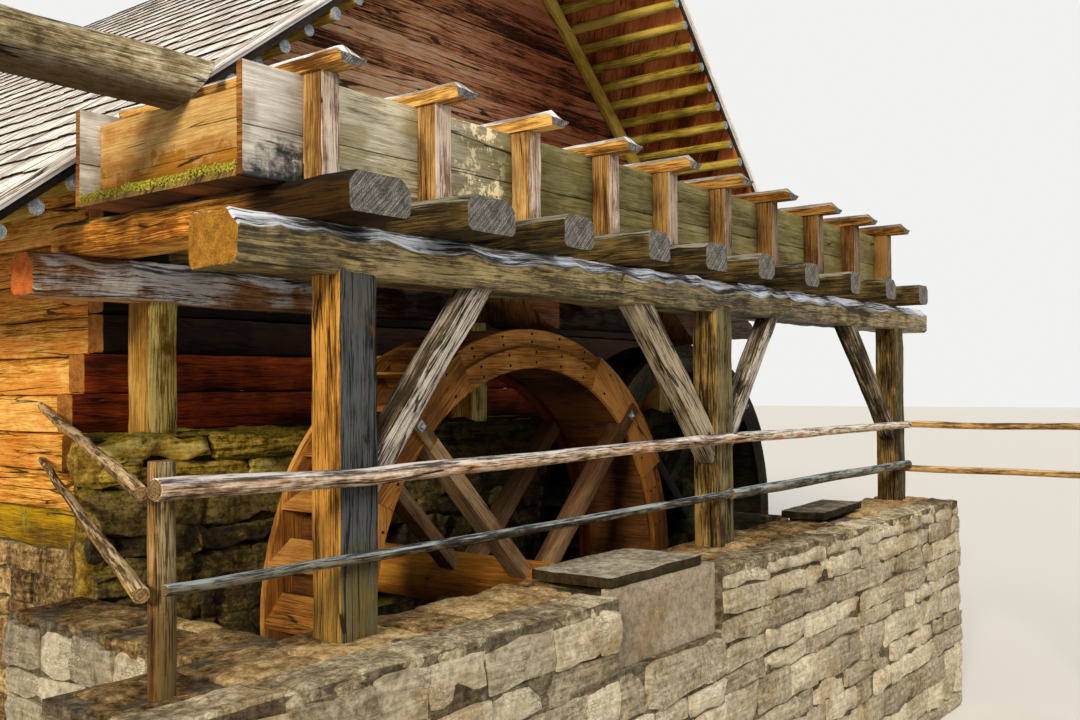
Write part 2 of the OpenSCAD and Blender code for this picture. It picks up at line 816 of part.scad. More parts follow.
// Arms stand inside the ring, and their thin ends lap over the felloes' outer faces
arm_reach = wheel_r - arm_short;
arm_step = shroud_inner - felloe_in - 3;
neck_r = 150;
hoop_w = 45;
hoop_t = 8;
module cross_bars(i, y, reach, t) {
    on_axis(i, y) for (turn = [45, -45]) rotate([0, 0, turn])
        translate([-reach, -arm_w / 2, 0]) cube([2 * reach, arm_w, t]);
}
module near_cross(i) {
    cross_bars(i, wheel_y[i], arm_step, arm_t);
    cross_bars(i, wheel_y[i], arm_reach, arm_proud);
}
module far_cross(i) {
    cross_bars(i, far_lap_y(i) + arm_proud - arm_t, arm_step, arm_t);
    cross_bars(i, far_lap_y(i), arm_reach, arm_proud);
}

module wheel_arms(i) {
    color("burlywood") {
        near_cross(i);
        far_cross(i);
    }
}

module wheel_shaft(i) {
    color("sienna") difference() {
        on_axis(i, shaft_y0) {
            cylinder(r = neck_r, h = shaft_y1 - shaft_y0);
            translate([0, 0, hoop_w]) cylinder(r = shaft_r[i], h = shaft_y1 - shaft_y0 - 2 * hoop_w);
        }
        near_cross(i);
        far_cross(i);
    }
}

module hoop(i, y) {
    on_axis(i, y) difference() {
        cylinder(r = neck_r + hoop_t, h = hoop_w);
        translate([0, 0, -1]) cylinder(r = neck_r, h = hoop_w + 2);
    }
}

module wheel_irons(i) {
    color("dimgray") {
        on_axis(i, shaft_y0 - gudgeon_len) cylinder(r = gudgeon_r, h = gudgeon_len);
        on_axis(i, shaft_y1) cylinder(r = gudgeon_r, h = gudgeon_len);
        hoop(i, shaft_y0);
        hoop(i, shaft_y1 - hoop_w);
    }
}

// A part of a ring from one angle to the other, as a flat shape
module arc(r0, r1, from, to) {
    difference() {
        circle(r = r1, $fn = 96);
        circle(r = r0, $fn = 96);
        rotate(from) translate([-2 * r1, -2 * r1]) square([4 * r1, 2 * r1]);
        rotate(to) translate([-2 * r1, 0]) square([4 * r1, 2 * r1]);
    }
}

// Eight parts, each a plank with its felloe: wide at the arms and narrow between them
seam = 0.05;
wide_half = 19;
module shroud(i, y, felloe_y) {
    for (k = [0 : 3]) {
        a = 90 * k + 45 - wide_half;
        b = 90 * k + 45 + wide_half;
        c = 90 * k + 135 - wide_half;
        on_axis(i, y) linear_extrude(shroud_t) {
            arc(shroud_inner, wheel_r, a + seam, b - seam);
            arc(shroud_inner, wheel_r, b + seam, c - seam);
        }
        on_axis(i, felloe_y) linear_extrude(felloe_t) {
            arc(shroud_inner - felloe_in, wheel_r, a + seam, b - seam);
            arc(shroud_inner - felloe_in, shroud_inner - felloe_in + felloe_w, b + seam, c - seam);
        }
    }
}

module wheel_shrouds(i) {
    color("chocolate") {
        shroud(i, bucket_y0(i) - shroud_t, bucket_y0(i) - shroud_t - felloe_t);
        shroud(i, far_shroud_y(i), far_shroud_y(i) + shroud_t);
    }
}

// One bucket: a riser on the sole and a board that leans to the rim
module bucket_shape() {
    r0 = shroud_inner + sole_t + rest_gap;
    r1 = r0 + riser_h;
    r2 = wheel_r - 8;
    run = (r2 - r1) * tan(bucket_lean);
    across = bucket_t / cos(bucket_lean);
    polygon([[r0, 0], [r1, 0], [r2, -run], [r2, -run - across], [r1 - 4, -bucket_t], [r0, -bucket_t]]);
}

sole_step = 360 / bucket_count;
module wheel_buckets(i) {
    chord = 2 * shroud_inner * tan(sole_step / 2) - 2;
    color("orange") on_axis(i, bucket_y0(i)) linear_extrude(bucket_w[i])
        for (k = [0 : bucket_count - 1]) rotate(sole_step * (k + 0.5)) {
            translate([shroud_inner + rest_gap, -chord / 2]) square([sole_t, chord]);
            bucket_shape();
        }
}

module wheel_1_shaft() { wheel_shaft(0); }
module wheel_1_irons() { wheel_irons(0); }
module wheel_1_arms() { wheel_arms(0); }
module wheel_1_shrouds() { wheel_shrouds(0); }
module wheel_1_buckets() { wheel_buckets(0); }
module wheel_2_shaft() { wheel_shaft(1); }
module wheel_2_irons() { wheel_irons(1); }
module wheel_2_arms() { wheel_arms(1); }
module wheel_2_shrouds() { wheel_shrouds(1); }
module wheel_2_buckets() { wheel_buckets(1); }

curb_wall();
pit_end_wall();
rubble_wall();
left_foundation();
right_foundation();
back_foundation();
front_plate();
slab_rests();
cover_slabs();
bearing_blocks();
outer_posts();
inner_posts();
outer_beam();
inner_beam();
braces();
cross_logs();
flume_floor();
flume_sides();
flume_ends();
frame_posts();
frame_caps();
chutes();
feed_log();
feed_trestle();
left_log_wall();
right_log_wall();
front_log_wall();
back_log_wall();
gables();
gable_rafters();
roof_left();
roof_right();
roof_poles();
railing_posts();
front_rails();
side_rails();
wheel_1_shaft();
wheel_1_irons();
wheel_1_arms();
wheel_1_shrouds();
wheel_1_buckets();
wheel_2_shaft();
wheel_2_irons();
wheel_2_arms();
wheel_2_shrouds();
wheel_2_buckets();
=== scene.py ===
import random
from math import asin, cos, floor, hypot, pi, radians, sin, tan

import bpy
from mathutils import Matrix, Vector, noise


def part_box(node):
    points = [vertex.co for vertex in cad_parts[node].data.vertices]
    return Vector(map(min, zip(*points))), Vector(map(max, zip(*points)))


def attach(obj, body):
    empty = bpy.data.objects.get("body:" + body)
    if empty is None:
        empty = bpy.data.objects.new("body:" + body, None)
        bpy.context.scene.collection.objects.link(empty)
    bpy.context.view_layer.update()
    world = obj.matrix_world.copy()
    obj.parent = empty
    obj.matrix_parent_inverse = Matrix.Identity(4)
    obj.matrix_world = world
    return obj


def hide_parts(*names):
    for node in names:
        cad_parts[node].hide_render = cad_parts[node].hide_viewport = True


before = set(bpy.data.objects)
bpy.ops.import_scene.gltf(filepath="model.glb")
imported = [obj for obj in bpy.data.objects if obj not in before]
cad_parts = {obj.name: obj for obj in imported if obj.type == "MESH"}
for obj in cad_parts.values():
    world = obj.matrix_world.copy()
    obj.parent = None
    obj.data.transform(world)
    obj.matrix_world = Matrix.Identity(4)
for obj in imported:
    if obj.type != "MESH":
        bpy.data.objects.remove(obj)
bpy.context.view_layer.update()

BOX = {node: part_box(node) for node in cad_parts}
# All random numbers come from this one source, in the order of the calls
DRAW = random.Random(11)
vary = DRAW.uniform

X, Y, Z = Vector((1, 0, 0)), Vector((0, 1, 0)), Vector((0, 0, 1))

# Driving dimensions in metres
POST_X = (0.0, 4.035, 8.16)
POST_W = 0.27
FRAME_PITCH = 0.92
FRAME_DRIFT = (0.03, -0.02, -0.06, -0.05, -0.14, -0.15, -0.17, -0.06, -0.03, 0.01)
CROSS_WIDTHS = (0.43, 0.42, 0.33, 0.29, 0.34, 0.30, 0.31, 0.25, 0.30, 0.30)
FRAME_POST_W = 0.14
FRAME_POST_D = 0.15
SIDE_T = 0.05
CAP_W = 0.20
CAP_T = 0.115
LOG_H = 0.30
LOG_T = 0.22
WHEEL_X = (2.42, 6.20)
WHEEL_Y = (0.58, 1.47)
WHEEL_Z = 2.10
WHEEL_R = 1.895
SHROUD_IN = 1.66
FELLOE_IN = 1.61
FELLOE_OUT = 1.765
ARM_T = 0.15
ARM_W = 0.105
ARM_PROUD = 0.025
FELLOE_T = 0.04
SHROUD_T = 0.05
BUCKET_W = (0.61, 0.43)
SHAFT_R = (0.20, 0.165)
NECK_R = 0.15
HOOP_W = 0.045
BUCKETS = 32
QUARTER = pi / 2
POLE_SIDES = 14

CURB_TOP = BOX["curb_wall"][1].z
LEDGE_TOP = BOX["rubble_wall"][1].z
SILL_TOP = BOX["left_foundation"][1].z
DECK = BOX["flume_floor"][0].z
FLUME_X = (BOX["flume_sides"][0].x, BOX["flume_sides"][1].x)
FLUME_Y = (BOX["flume_sides"][0].y, BOX["flume_sides"][1].y)
FRAME_X = [number * FRAME_PITCH + drift for number, drift in enumerate(FRAME_DRIFT)]
HOUSE_X = (BOX["left_log_wall"][0].x, BOX["right_log_wall"][1].x)
HOUSE_Y = (BOX["front_log_wall"][0].y, BOX["back_log_wall"][1].y)
RIDGE = Vector((BOX["roof_left"][1].x, 0, BOX["roof_left"][1].z))


# Camera
CAMERA_AT = Vector((-3.744, -4.228, 3.589))
CAMERA_RIGHT = Vector((0.61445, -0.78892, -0.00768))
CAMERA_DOWN = Vector((0.01325, 0.02005, -0.99971))
PHOTO_W = 1080
FOCAL_PX = 1072
SENSOR_MM = 36


def make_camera():
    data = bpy.data.cameras.new("camera")
    data.sensor_width = SENSOR_MM
    data.lens = SENSOR_MM * FOCAL_PX / PHOTO_W
    data.clip_end = 300
    camera = bpy.data.objects.new("camera", data)
    bpy.context.collection.objects.link(camera)
    forward = CAMERA_RIGHT.cross(CAMERA_DOWN)
    turn = Matrix((CAMERA_RIGHT, -CAMERA_DOWN, -forward)).transposed()
    camera.matrix_world = Matrix.Translation(CAMERA_AT) @ turn.to_4x4()
    bpy.context.scene.camera = camera


make_camera()


# Materials
def colour(code):
    """A colour written as a web code, as the shader's linear values."""
    parts = [int(code[k:k + 2], 16) / 255 for k in (1, 3, 5)]
    return [p / 12.92 if p <= 0.04045 else ((p + 0.055) / 1.055) ** 2.4 for p in parts] + [1]


class Graph:
    """Short calls for the nodes of one material."""

    def __init__(self, name):
        self.material = bpy.data.materials.new(name)
        self.material.use_nodes = True
        self.tree = self.material.node_tree
        self.tree.nodes.clear()

    def add(self, kind, inputs=(), out=0, **settings):
        node = self.tree.nodes.new(kind)
        for key, value in settings.items():
            setattr(node, key, value)
        for key, value in dict(inputs).items():
            if isinstance(value, bpy.types.NodeSocket):
                self.tree.links.new(value, node.inputs[key])
            else:
                node.inputs[key].default_value = value
        return node.outputs[out] if node.outputs else node

    def calc(self, operation, a, b=0.0, c=0.0):
        return self.add("ShaderNodeMath", {0: a, 1: b, 2: c}, operation=operation)

    def plus(self, a, b):
        return self.calc("ADD", a, b)

    def minus(self, a, b):
        return self.calc("SUBTRACT", a, b)

    def times(self, a, b):
        return self.calc("MULTIPLY", a, b)

    def total(self, base, *parts):
        """The base and, for each pair, how far its value stands from one half times its weight."""
        for value, weight in parts:
            base = self.calc("MULTIPLY_ADD", self.minus(value, 0.5), weight, base)
        return base

    def step(self, value, low, high):
        return self.add("ShaderNodeMapRange", {0: value, 1: low, 2: high, 3: 0.0, 4: 1.0},
                        interpolation_type="SMOOTHSTEP")

    def mix(self, share, a, b, blend="MIX"):
        return self.add("ShaderNodeMix", {0: share, 6: a, 7: b}, out=2, data_type="RGBA", blend_type=blend)

    def darken(self, share, tint, code):
        """The tint, multiplied by a colour as far as the share says."""
        return self.mix(share, tint, self.mix(1.0, tint, colour(code), "MULTIPLY"))

    def noise(self, vector, scale=1.0, detail=4.0, rough=0.55):
        return self.add("ShaderNodeTexNoise", {"Vector": vector, "Scale": scale, "Detail": detail,
                                               "Roughness": rough})

    def cells(self, vector, scale=1.0, feature="F1"):
        return self.add("ShaderNodeTexVoronoi", {"Vector": vector, "Scale": scale}, feature=feature)

    def ramp(self, value, stops):
        """A colour for each value, from pairs of a place and a web code."""
        node = self.tree.nodes.new("ShaderNodeValToRGB")
        elements = node.color_ramp.elements
        elements.remove(elements[1])
        for number, (place, code) in enumerate(stops):
            element = elements.new(place) if number else elements[0]
            element.position = place
            element.color = colour(code)
        self.tree.links.new(value, node.inputs[0])
        return node.outputs[0]

    def split(self, vector):
        node = self.tree.nodes.new("ShaderNodeSeparateXYZ")
        self.tree.links.new(vector, node.inputs[0])
        return node.outputs

    def join(self, x, y, z):
        return self.add("ShaderNodeCombineXYZ", {0: x, 1: y, 2: z})

    def tone(self):
        return self.add("ShaderNodeAttribute", out=2, attribute_name="tone")

    def place(self, kind="Object"):
        return self.tree.nodes.new("ShaderNodeTexCoord").outputs[kind]

    def finish(self, tint, roughness, height, depth, metallic=0.0, gloss=0.5):
        normal = self.add("ShaderNodeBump", {"Strength": 1.0, "Distance": depth, "Height": height})
        shader = self.add("ShaderNodeBsdfPrincipled", {
            "Base Color": tint, "Roughness": roughness, "Normal": normal, "Metallic": metallic,
            "Specular IOR Level": gloss})
        self.add("ShaderNodeOutputMaterial", {"Surface": shader})
        return self.material


def facing(g, axis, sign, low=0.45, high=0.75):
    """How far a surface at rest faces along an axis, from 0 to 1."""
    turned = g.times(g.split(g.place("Normal"))[axis], sign)
    return g.step(turned, low, high)


def with_moss(g, tint, amount, up=0.35):
    """Moss in patches, thicker on what faces up."""
    spread = g.noise(g.place(), 3.2, 7.0, 0.65)
    lift = g.times(g.split(g.place("Normal"))[2], up * 0.5)
    mask = g.step(g.plus(spread, lift), 0.72 - amount * 0.4, 0.86 - amount * 0.4)
    green = g.ramp(g.noise(g.place(), 45.0, 3.0), [(0.35, "#3a3d0e"), (0.65, "#a3962a")])
    return g.mix(g.times(mask, 0.85), tint, green)


def grain_place(g, grain):
    """Coordinates along and across the grain, a seed and a tone for each board."""
    if grain == "uv":
        u, v, _ = g.split(g.add("ShaderNodeUVMap", uv_map="grain"))
        return u, v, g.times(g.tone(), 37.0), g.tone()
    parts = g.split(g.place())
    order = {"x": (0, 1, 2), "y": (1, 0, 2), "z": (2, 0, 1)}[grain]
    u, v, seed = (parts[number] for number in order)
    v = g.plus(v, seed)
    board = g.calc("FLOOR", g.times(v, 4.5))
    return u, v, seed, g.calc("FRACT", g.times(g.calc("SINE", board), 43.7))


class Grain:
    """The streaks, knots and cracks of one wood, as values for its shader."""

    def __init__(self, g, grain, cracks, knots):
        self.graph = g
        self.u, self.v, self.seed, self.tone = grain_place(g, grain)
        knot_gap = g.cells(self.stretched(1.5, 3.3))
        self.knot = g.minus(1.0, g.step(knot_gap, 0.02, 0.065))
        swirl = g.minus(1.0, g.step(knot_gap, 0.03, 0.35))
        self.v = g.plus(self.v, g.times(swirl, 0.009 * knots))
        self.slow = self.streaks(0.5, 4.0, 4.0, 0.55)
        self.v = g.plus(self.v, g.times(self.slow, 0.05))
        self.band = self.streaks(0.7, 13.0, 3.0, 0.5)
        self.fibre = self.streaks(4.0, 135.0, 6.0, 0.74)
        self.blotch = g.noise(g.place(), 3.0, 6.0, 0.6)
        self.vein = g.step(g.calc("SINE", g.times(self.band, 95.0)), 0.45, 1.0)
        edge = g.cells(self.stretched(0.75, 17.0), feature="DISTANCE_TO_EDGE")
        width = g.times(g.minus(self.streaks(0.8, 9.0, 5.0, 0.65), 0.6 - 0.12 * cracks), 0.4)
        gap = g.minus(width, edge)
        self.crack = g.step(gap, 0.0, 0.008)
        self.soft = g.step(gap, -0.03, 0.01)

    def stretched(self, along, across):
        g = self.graph
        return g.join(g.times(self.u, along), g.times(self.v, across), self.seed)

    def streaks(self, along, across, detail, roughness):
        return self.graph.noise(self.stretched(along, across), 1.0, detail, roughness)


def own_tint(g, lines, codes, mottle, blobs, spread, contrast):
    """The wood's own colour: streaks from dark to light, and a tone for each board."""
    shade = g.total(0.5, (lines.fibre, 1.05), (lines.slow, 0.7), (lines.blotch, 0.5),
                    (lines.tone, spread * 0.45), (lines.vein, -0.05))
    if mottle:
        shade = g.total(shade, (lines.streaks(*blobs, 7.0, 0.7), mottle))
    half = 0.15 / contrast
    return g.ramp(shade, zip((0.5 - half, 0.5, 0.5 + half), codes))


def weather(g, lines, tint, pair, course, half, turned, patchy):
    """Two colours that follow a course of streaks, in patches, where the surface is turned to them."""
    streaked = g.ramp(course, [(0.5 - half, pair[0]), (0.5 + half, pair[1])])
    cover = g.step(g.total(0.5, (lines.blotch, 0.8), (lines.slow, 0.6)), 0.3 + patchy, 0.45 + patchy)
    return g.mix(g.times(g.times(turned, cover), 0.93), tint, streaked)


def weathered(g, lines, tint, front, side, top, patchy):
    """Drips down the front and the left side, and a painted sheen on top: a pale painted reflection of the
    sky.
    """
    drip = g.total(0.5, (lines.fibre, 1.7), (lines.band, 0.4), (lines.slow, 0.7), (lines.blotch, 0.7),
                   (lines.vein, -0.1))
    if front:
        tint = weather(g, lines, tint, front, drip, 0.1, facing(g, 1, -1.0), patchy)
    if side:
        tint = weather(g, lines, tint, side, drip, 0.1, facing(g, 0, -1.0), patchy)
    # Faces that point up: a painted sheen, a streaky painted reflection of the sky.
    if top:
        painted_sheen = g.total(0.5, (lines.streaks(1.8, 30.0, 7.0, 0.72), 1.6), (lines.fibre, 0.5),
                        (lines.blotch, 0.3))
        tint = weather(g, lines, tint, top, painted_sheen, 0.08, facing(g, 2, 1.0, 0.2, 0.5), patchy)
    return tint


def drifted(g, lines, tint, code, axis, near, far):
    """The tint, darker towards one end of an axis."""
    reach = 0.7 * abs(far - near)
    along = g.total(g.split(g.place())[axis], (lines.slow, reach), (lines.blotch, reach))
    return g.darken(g.step(along, near, far), tint, code)


def flaked(g, tint, code, near, far):
    """Small pale flakes between two places along X."""
    x = g.split(g.place())[0]
    border = 0.15
    inside = g.times(g.step(x, near, near + border), g.step(x, far, far - border))
    flakes = g.step(g.noise(g.place(), 9.0, 9.0, 0.75), 0.51, 0.57)
    return g.mix(g.times(flakes, inside), tint, colour(code))


def by_height(g, lines, full, none):
    """From 0 at one height to 1 at another, with a ragged border."""
    ragged = g.noise(g.place(), 11.0, 8.0, 0.75)
    height = g.total(g.split(g.place())[2], (lines.slow, 0.3), (lines.blotch, 0.7), (ragged, 0.45))
    return g.step(height, none, full)


def wood(name, dark, mid, light, grain="uv", cracks=0.5, knots=0.5, depth=0.005, front=None, side=None,
         top=None, underside_shade=None, stain=None, drift=None, foot=None, wash=None, flake=None, mottle=0.0,
         blobs=(2.2, 30.0), patchy=0.0, moss=0.0, wet=0.0, spread=0.35, contrast=1.0):
    """Weathered wood whose fibres follow the grain coordinates or an axis; a top pair paints a sheen on
    what faces up.
    """
    g = Graph(name)
    lines = Grain(g, grain, cracks, knots)
    tint = own_tint(g, lines, (dark, mid, light), mottle, blobs, spread, contrast)
    if stain:
        share = g.step(g.total(0.5, (lines.slow, 0.7), (lines.blotch, 0.7)), 0.48, 0.62)
        tint = g.darken(g.times(share, 0.85), tint, stain)
    tint = weathered(g, lines, tint, front, side, top, patchy)
    if drift:
        tint = drifted(g, lines, tint, *drift)
    if flake:
        tint = flaked(g, tint, *flake)
    if foot:
        tint = g.darken(by_height(g, lines, *foot[1:]), tint, foot[0])
    if wash:
        tint = g.mix(g.times(by_height(g, lines, *wash[1:]), 0.5), tint, colour(wash[0]))
    # Faces that point down darkened: painted shade on the underside.
    if underside_shade:
        tint = g.darken(facing(g, 2, -1.0, 0.05, 0.8), tint, underside_shade)
    roughness = g.plus(WOOD_ROUGHNESS, g.times(lines.fibre, 0.12))
    if wet:
        damp = g.step(g.total(0.5, (lines.band, 0.6), (lines.blotch, 0.6)), 0.45, 0.6)
        tint = g.darken(g.times(damp, 0.45 * wet), tint, DAMP_TINT)
        roughness = g.minus(WOOD_ROUGHNESS, g.times(damp, 0.5 * wet))
    if moss:
        tint = with_moss(g, tint, moss)
    tint = g.darken(g.times(lines.soft, 0.3), tint, CRACK_BORDER)
    hurt = g.calc("MAXIMUM", lines.crack, g.times(lines.knot, 0.8 * knots))
    tint = g.mix(g.times(hurt, 0.85), tint, colour(CRACK_TINT))
    height = g.total(0.5, (lines.fibre, 0.9), (lines.band, 0.5), (lines.vein, -0.12), (lines.soft, -0.7),
                     (lines.crack, -0.8))
    return g.finish(tint, roughness, height, depth, gloss=0.12 + 0.4 * wet)


def end_grain(name, dark, mid, light, cracks=1.0, saw=0.3, rings=0.05):
    """A sawn end: year rings round the pith, marks of the saw and a few splits that run out from it."""
    g = Graph(name)
    u, v, _ = g.split(g.add("ShaderNodeUVMap", uv_map="grain"))
    seed = g.times(g.tone(), 53.0)
    spot = g.join(u, v, seed)
    wobble = g.noise(spot, 9.0, 3.0)
    away = g.calc("SQRT", g.plus(g.times(u, u), g.times(v, v)))
    ring = g.calc("SINE", g.times(g.plus(away, g.times(wobble, 0.04)), 420.0))
    saw_place = g.join(g.times(g.plus(u, v), 2.0), g.times(g.minus(u, v), 260.0), seed)
    marks = g.noise(saw_place, 1.0, 5.0, 0.75)
    turn = g.plus(g.calc("ARCTAN2", v, u), g.times(wobble, 0.7))
    spoke_place = g.join(g.calc("COSINE", turn), g.calc("SINE", turn), seed)
    spoke = g.cells(spoke_place, 1.2, "DISTANCE_TO_EDGE")
    reach = g.minus(0.055 * cracks, g.times(away, 0.35 * cracks))
    crack = g.step(g.minus(g.times(reach, g.step(wobble, 0.35, 0.65)), spoke), 0.0, 0.01)
    dirt = g.noise(spot, 16.0, 7.0, 0.7)
    grit = g.noise(spot, 90.0, 5.0, 0.7)
    shade = g.total(0.5, (dirt, 0.6 - 0.5 * saw), (grit, 0.5 - 0.3 * saw), (marks, 2.6 * saw),
                    (ring, rings))
    tint = g.ramp(shade, [(0.33, dark), (0.5, mid), (0.67, light)])
    tint = g.mix(g.times(crack, 0.85), tint, colour(SPLIT_TINT))
    height = g.total(0.5, (ring, 0.08), (marks, saw), (grit, 0.5), (dirt, 0.6), (crack, -1.0))
    return g.finish(tint, 0.8, height, 0.007, gloss=0.12)


def stone_finish(name, dark, mid, light, moss=0.3, wet=0.0, depth=0.02, stain="#8a5a2a", up=0.6,
                 layered=0.4, grit=1.2, drift=None, edges=None):
    """Rough stone or earth with faint beds, brown stains and moss."""
    g = Graph(name)
    place = g.place()
    x, y, z = g.split(place)
    big = g.noise(place, 2.3, 5.0, 0.6)
    fine = g.noise(place, 17.0, 9.0, 0.78)
    beds = g.noise(g.join(g.times(x, 3.0), g.times(y, 3.0), g.times(z, 42.0)), 1.0, 5.0, 0.65)
    pits = g.cells(g.join(x, y, g.times(z, 1.6)), 26.0, "DISTANCE_TO_EDGE")
    cleft = g.times(g.minus(1.0, g.step(pits, 0.0, 0.07)), g.step(big, 0.45, 0.6))
    shade = g.total(0.5, (big, 0.5 * grit), (fine, grit), (beds, layered), (g.tone(), 0.2))
    tint = g.ramp(shade, [(0.3, dark), (0.5, mid), (0.7, light)])
    rust = g.step(g.noise(place, 1.7, 6.0, 0.65), 0.5, 0.64)
    tint = g.darken(g.times(rust, 0.55), tint, stain)
    if moss:
        tint = with_moss(g, tint, moss, up)
    # Darker along X past a place: painted shade behind the first wheel.
    if drift:
        code, near, far = drift
        tint = g.darken(g.step(g.total(x, (big, 1.0)), near, far), tint, code)
    tint = g.darken(g.times(cleft, 0.45), tint, CLEFT_TINT)
    # Upright faces darkened: painted shade on the sides and front edges of the slabs.
    if edges:
        upright = g.minus(1.0, facing(g, 2, 1.0, 0.3, 0.8))
        tint = g.darken(upright, tint, edges)
    roughness = g.minus(0.9, g.times(g.step(big, 0.4, 0.6), 0.5 * wet))
    height = g.total(0.5, (fine, grit), (big, 0.8), (beds, 0.6 * layered), (cleft, -0.25))
    return g.finish(tint, roughness, height, depth, gloss=0.12 + 0.6 * wet)


def metal_finish(name, dark, light, rough):
    g = Graph(name)
    stain = g.noise(g.place(), 30.0, 6.0, 0.7)
    tint = g.ramp(stain, [(0.35, dark), (0.65, light)])
    return g.finish(tint, g.plus(g.times(stain, 0.3), rough), stain, 0.001, 0.9)


def moss_finish():
    g = Graph("moss")
    clump = g.noise(g.place(), 60.0, 6.0, 0.7)
    shade = g.plus(clump, g.times(g.noise(g.place(), 7.0), 0.4))
    tint = g.ramp(shade, [(0.45, "#4a460c"), (0.65, "#959020"), (0.9, "#d0c248")])
    return g.finish(tint, 0.95, clump, 0.01)


WOOD_ROUGHNESS = 0.72
DAMP_TINT = "#6b5a48"
CRACK_BORDER = "#5c4a3a"
CRACK_TINT = "#140e08"
SPLIT_TINT = "#120d08"
CLEFT_TINT = "#3c3224"
MOSS = moss_finish()


POST_WOOD = wood("post_wood", "#181005", "#564220", "#9c8048", front=("#161306", "#746846"), cracks=0.9,
                 mottle=0.6)
FIRST_POST_WOOD = wood("first_post_wood", "#261604", "#7a5014", "#c89040", front=("#010203", "#3c4a50"),
                       cracks=0.9, wash=("#7d6e3a", 2.4, 2.95), mottle=0.7)
# The top pair paints a blue-white sheen on the beam's upper bevel, a painted reflection over the wet wood.
BEAM_WOOD = wood("beam_wood", "#191306", "#5f502e", "#b09c68", top=("#0a0d12", "#e0e8f4"), wet=0.6,
                 cracks=0.9, mottle=0.6, blobs=(9.0, 30.0))
BEAM_END = end_grain("beam_end", "#4f340e", "#94661f", "#c4923c", cracks=0.4, saw=0.05, rings=0.01)
# The front and top pairs paint a blue-white sheen, a painted reflection; the drift darkens the beam to the
# right as painted shade.
INNER_BEAM_WOOD = wood("inner_beam_wood", "#4c2e16", "#a8784c", "#e0bc8c", front=("#2a1a10", "#f4f8fc"),
                       top=("#3b3838", "#f2f6fa"), cracks=0.5, drift=("#54463a", 0, 1.3, 2.8), mottle=0.4,
                       patchy=0.12)
INNER_BEAM_END = end_grain("inner_beam_end", "#8a4218", "#c2662a", "#dd8f48", cracks=0.2, saw=0.1)
CROSS_WOOD = wood("cross_wood", "#0c0903", "#352a14", "#6b5830", top=("#22201a", "#8c8676"), cracks=0.6,
                  mottle=0.4)
# The first cross log's wood: its bright orange is painted light where the sun falls on the log's left
# side, and the drift darkens its front end as painted shade.
LIT_CROSS_WOOD = wood("lit_cross_wood", "#74400e", "#f0a440", "#ffd07c", top=("#4a3c22", "#b49a62"),
                        cracks=0.3, drift=("#3c3a1c", 1, 0.85, 0.35), mottle=0.5)
CROSS_END = end_grain("cross_end", "#1e1c1b", "#605d58", "#b0aca5", cracks=0.6, saw=0.4, rings=0.03)
BRACE_WOOD = wood("brace_wood", "#2e2014", "#635440", "#b8b0a4", cracks=0.9, mottle=0.9,
                  front=("#241a10", "#c4baac"))
DARK_BRACE_WOOD = wood("dark_brace_wood", "#1a120a", "#4c3e2a", "#a89a82", cracks=1.0, mottle=1.0)
# The drift darkens the frame posts further right: painted shade.
FRAME_WOOD = wood("frame_wood", "#65421a", "#a07a44", "#d4aa6c", front=("#786050", "#e2d2c2"), cracks=0.4,
                  knots=0.9, mottle=0.4, drift=("#a09484", 0, 2.0, 5.5))
INNER_POST_WOOD = wood("inner_post_wood", "#6b4814", "#ad7d34", "#dbae58", front=("#746228", "#ecd886"),
                       cracks=0.3, knots=0.7)
# The top pair paints a pale sheen on the caps, a painted reflection; the drift darkens the caps further
# right as painted shade.
CAP_WOOD = wood("cap_wood", "#5c3810", "#b88238", "#f8c470", top=("#8a8d90", "#f6f9fc"),
                front=("#3f382e", "#9c9386"), cracks=0.4, mottle=0.9, depth=0.008,
                drift=("#a89e90", 0, 2.0, 5.5))
FLUME_WOOD = wood("flume_wood", "#6e6648", "#cdc4a8", "#f4eedc", cracks=0.35, knots=0.7, moss=0.12,
                  stain="#c4bc98", drift=("#9a9674", 0, 0.5, 1.9), flake=("#f0e2b8", 0.95, 1.7),
                  contrast=0.65, mottle=0.7)
BOX_WOOD = wood("box_wood", "#9a9188", "#cdc8c0", "#f4f2ee", cracks=0.3, knots=0.9, stain="#b0a698",
                contrast=0.5, foot=("#4c545c", 4.68, 4.82), mottle=0.5)
BOX_EDGE_WOOD = wood("box_edge_wood", "#4d2c0e", "#855422", "#b07c3c", cracks=0.3)
BOX_END_WOOD = wood("box_end_wood", "#8a6430", "#c09858", "#e4c48c", moss=0.06, cracks=0.1, spread=0.1,
                    contrast=0.6, stain="#c8a468", foot=("#d8b868", 4.84, 4.92), mottle=0.4)
# Its underside colour paints shade beneath the feed log and its trestle.
FEED_WOOD = wood("feed_wood", "#5a4a30", "#b4a47c", "#f6eed8", cracks=0.7, moss=0.06, depth=0.014,
                 mottle=0.7, blobs=(14.0, 30.0), contrast=0.8, underside_shade="#6b5c4a")
SOAKED_WOOD = wood("soaked_wood", "#1f130b", "#5d2f16", "#93522a", grain="x", wet=0.5,
                   side=("#3c2c10", "#9c7c38"))
LOG_WOOD = wood("log_wood", "#7d4a0c", "#e09c34", "#ffd07c", cracks=0.8, knots=0.3, depth=0.014,
                contrast=0.9, mottle=0.7, stain="#e0b470")
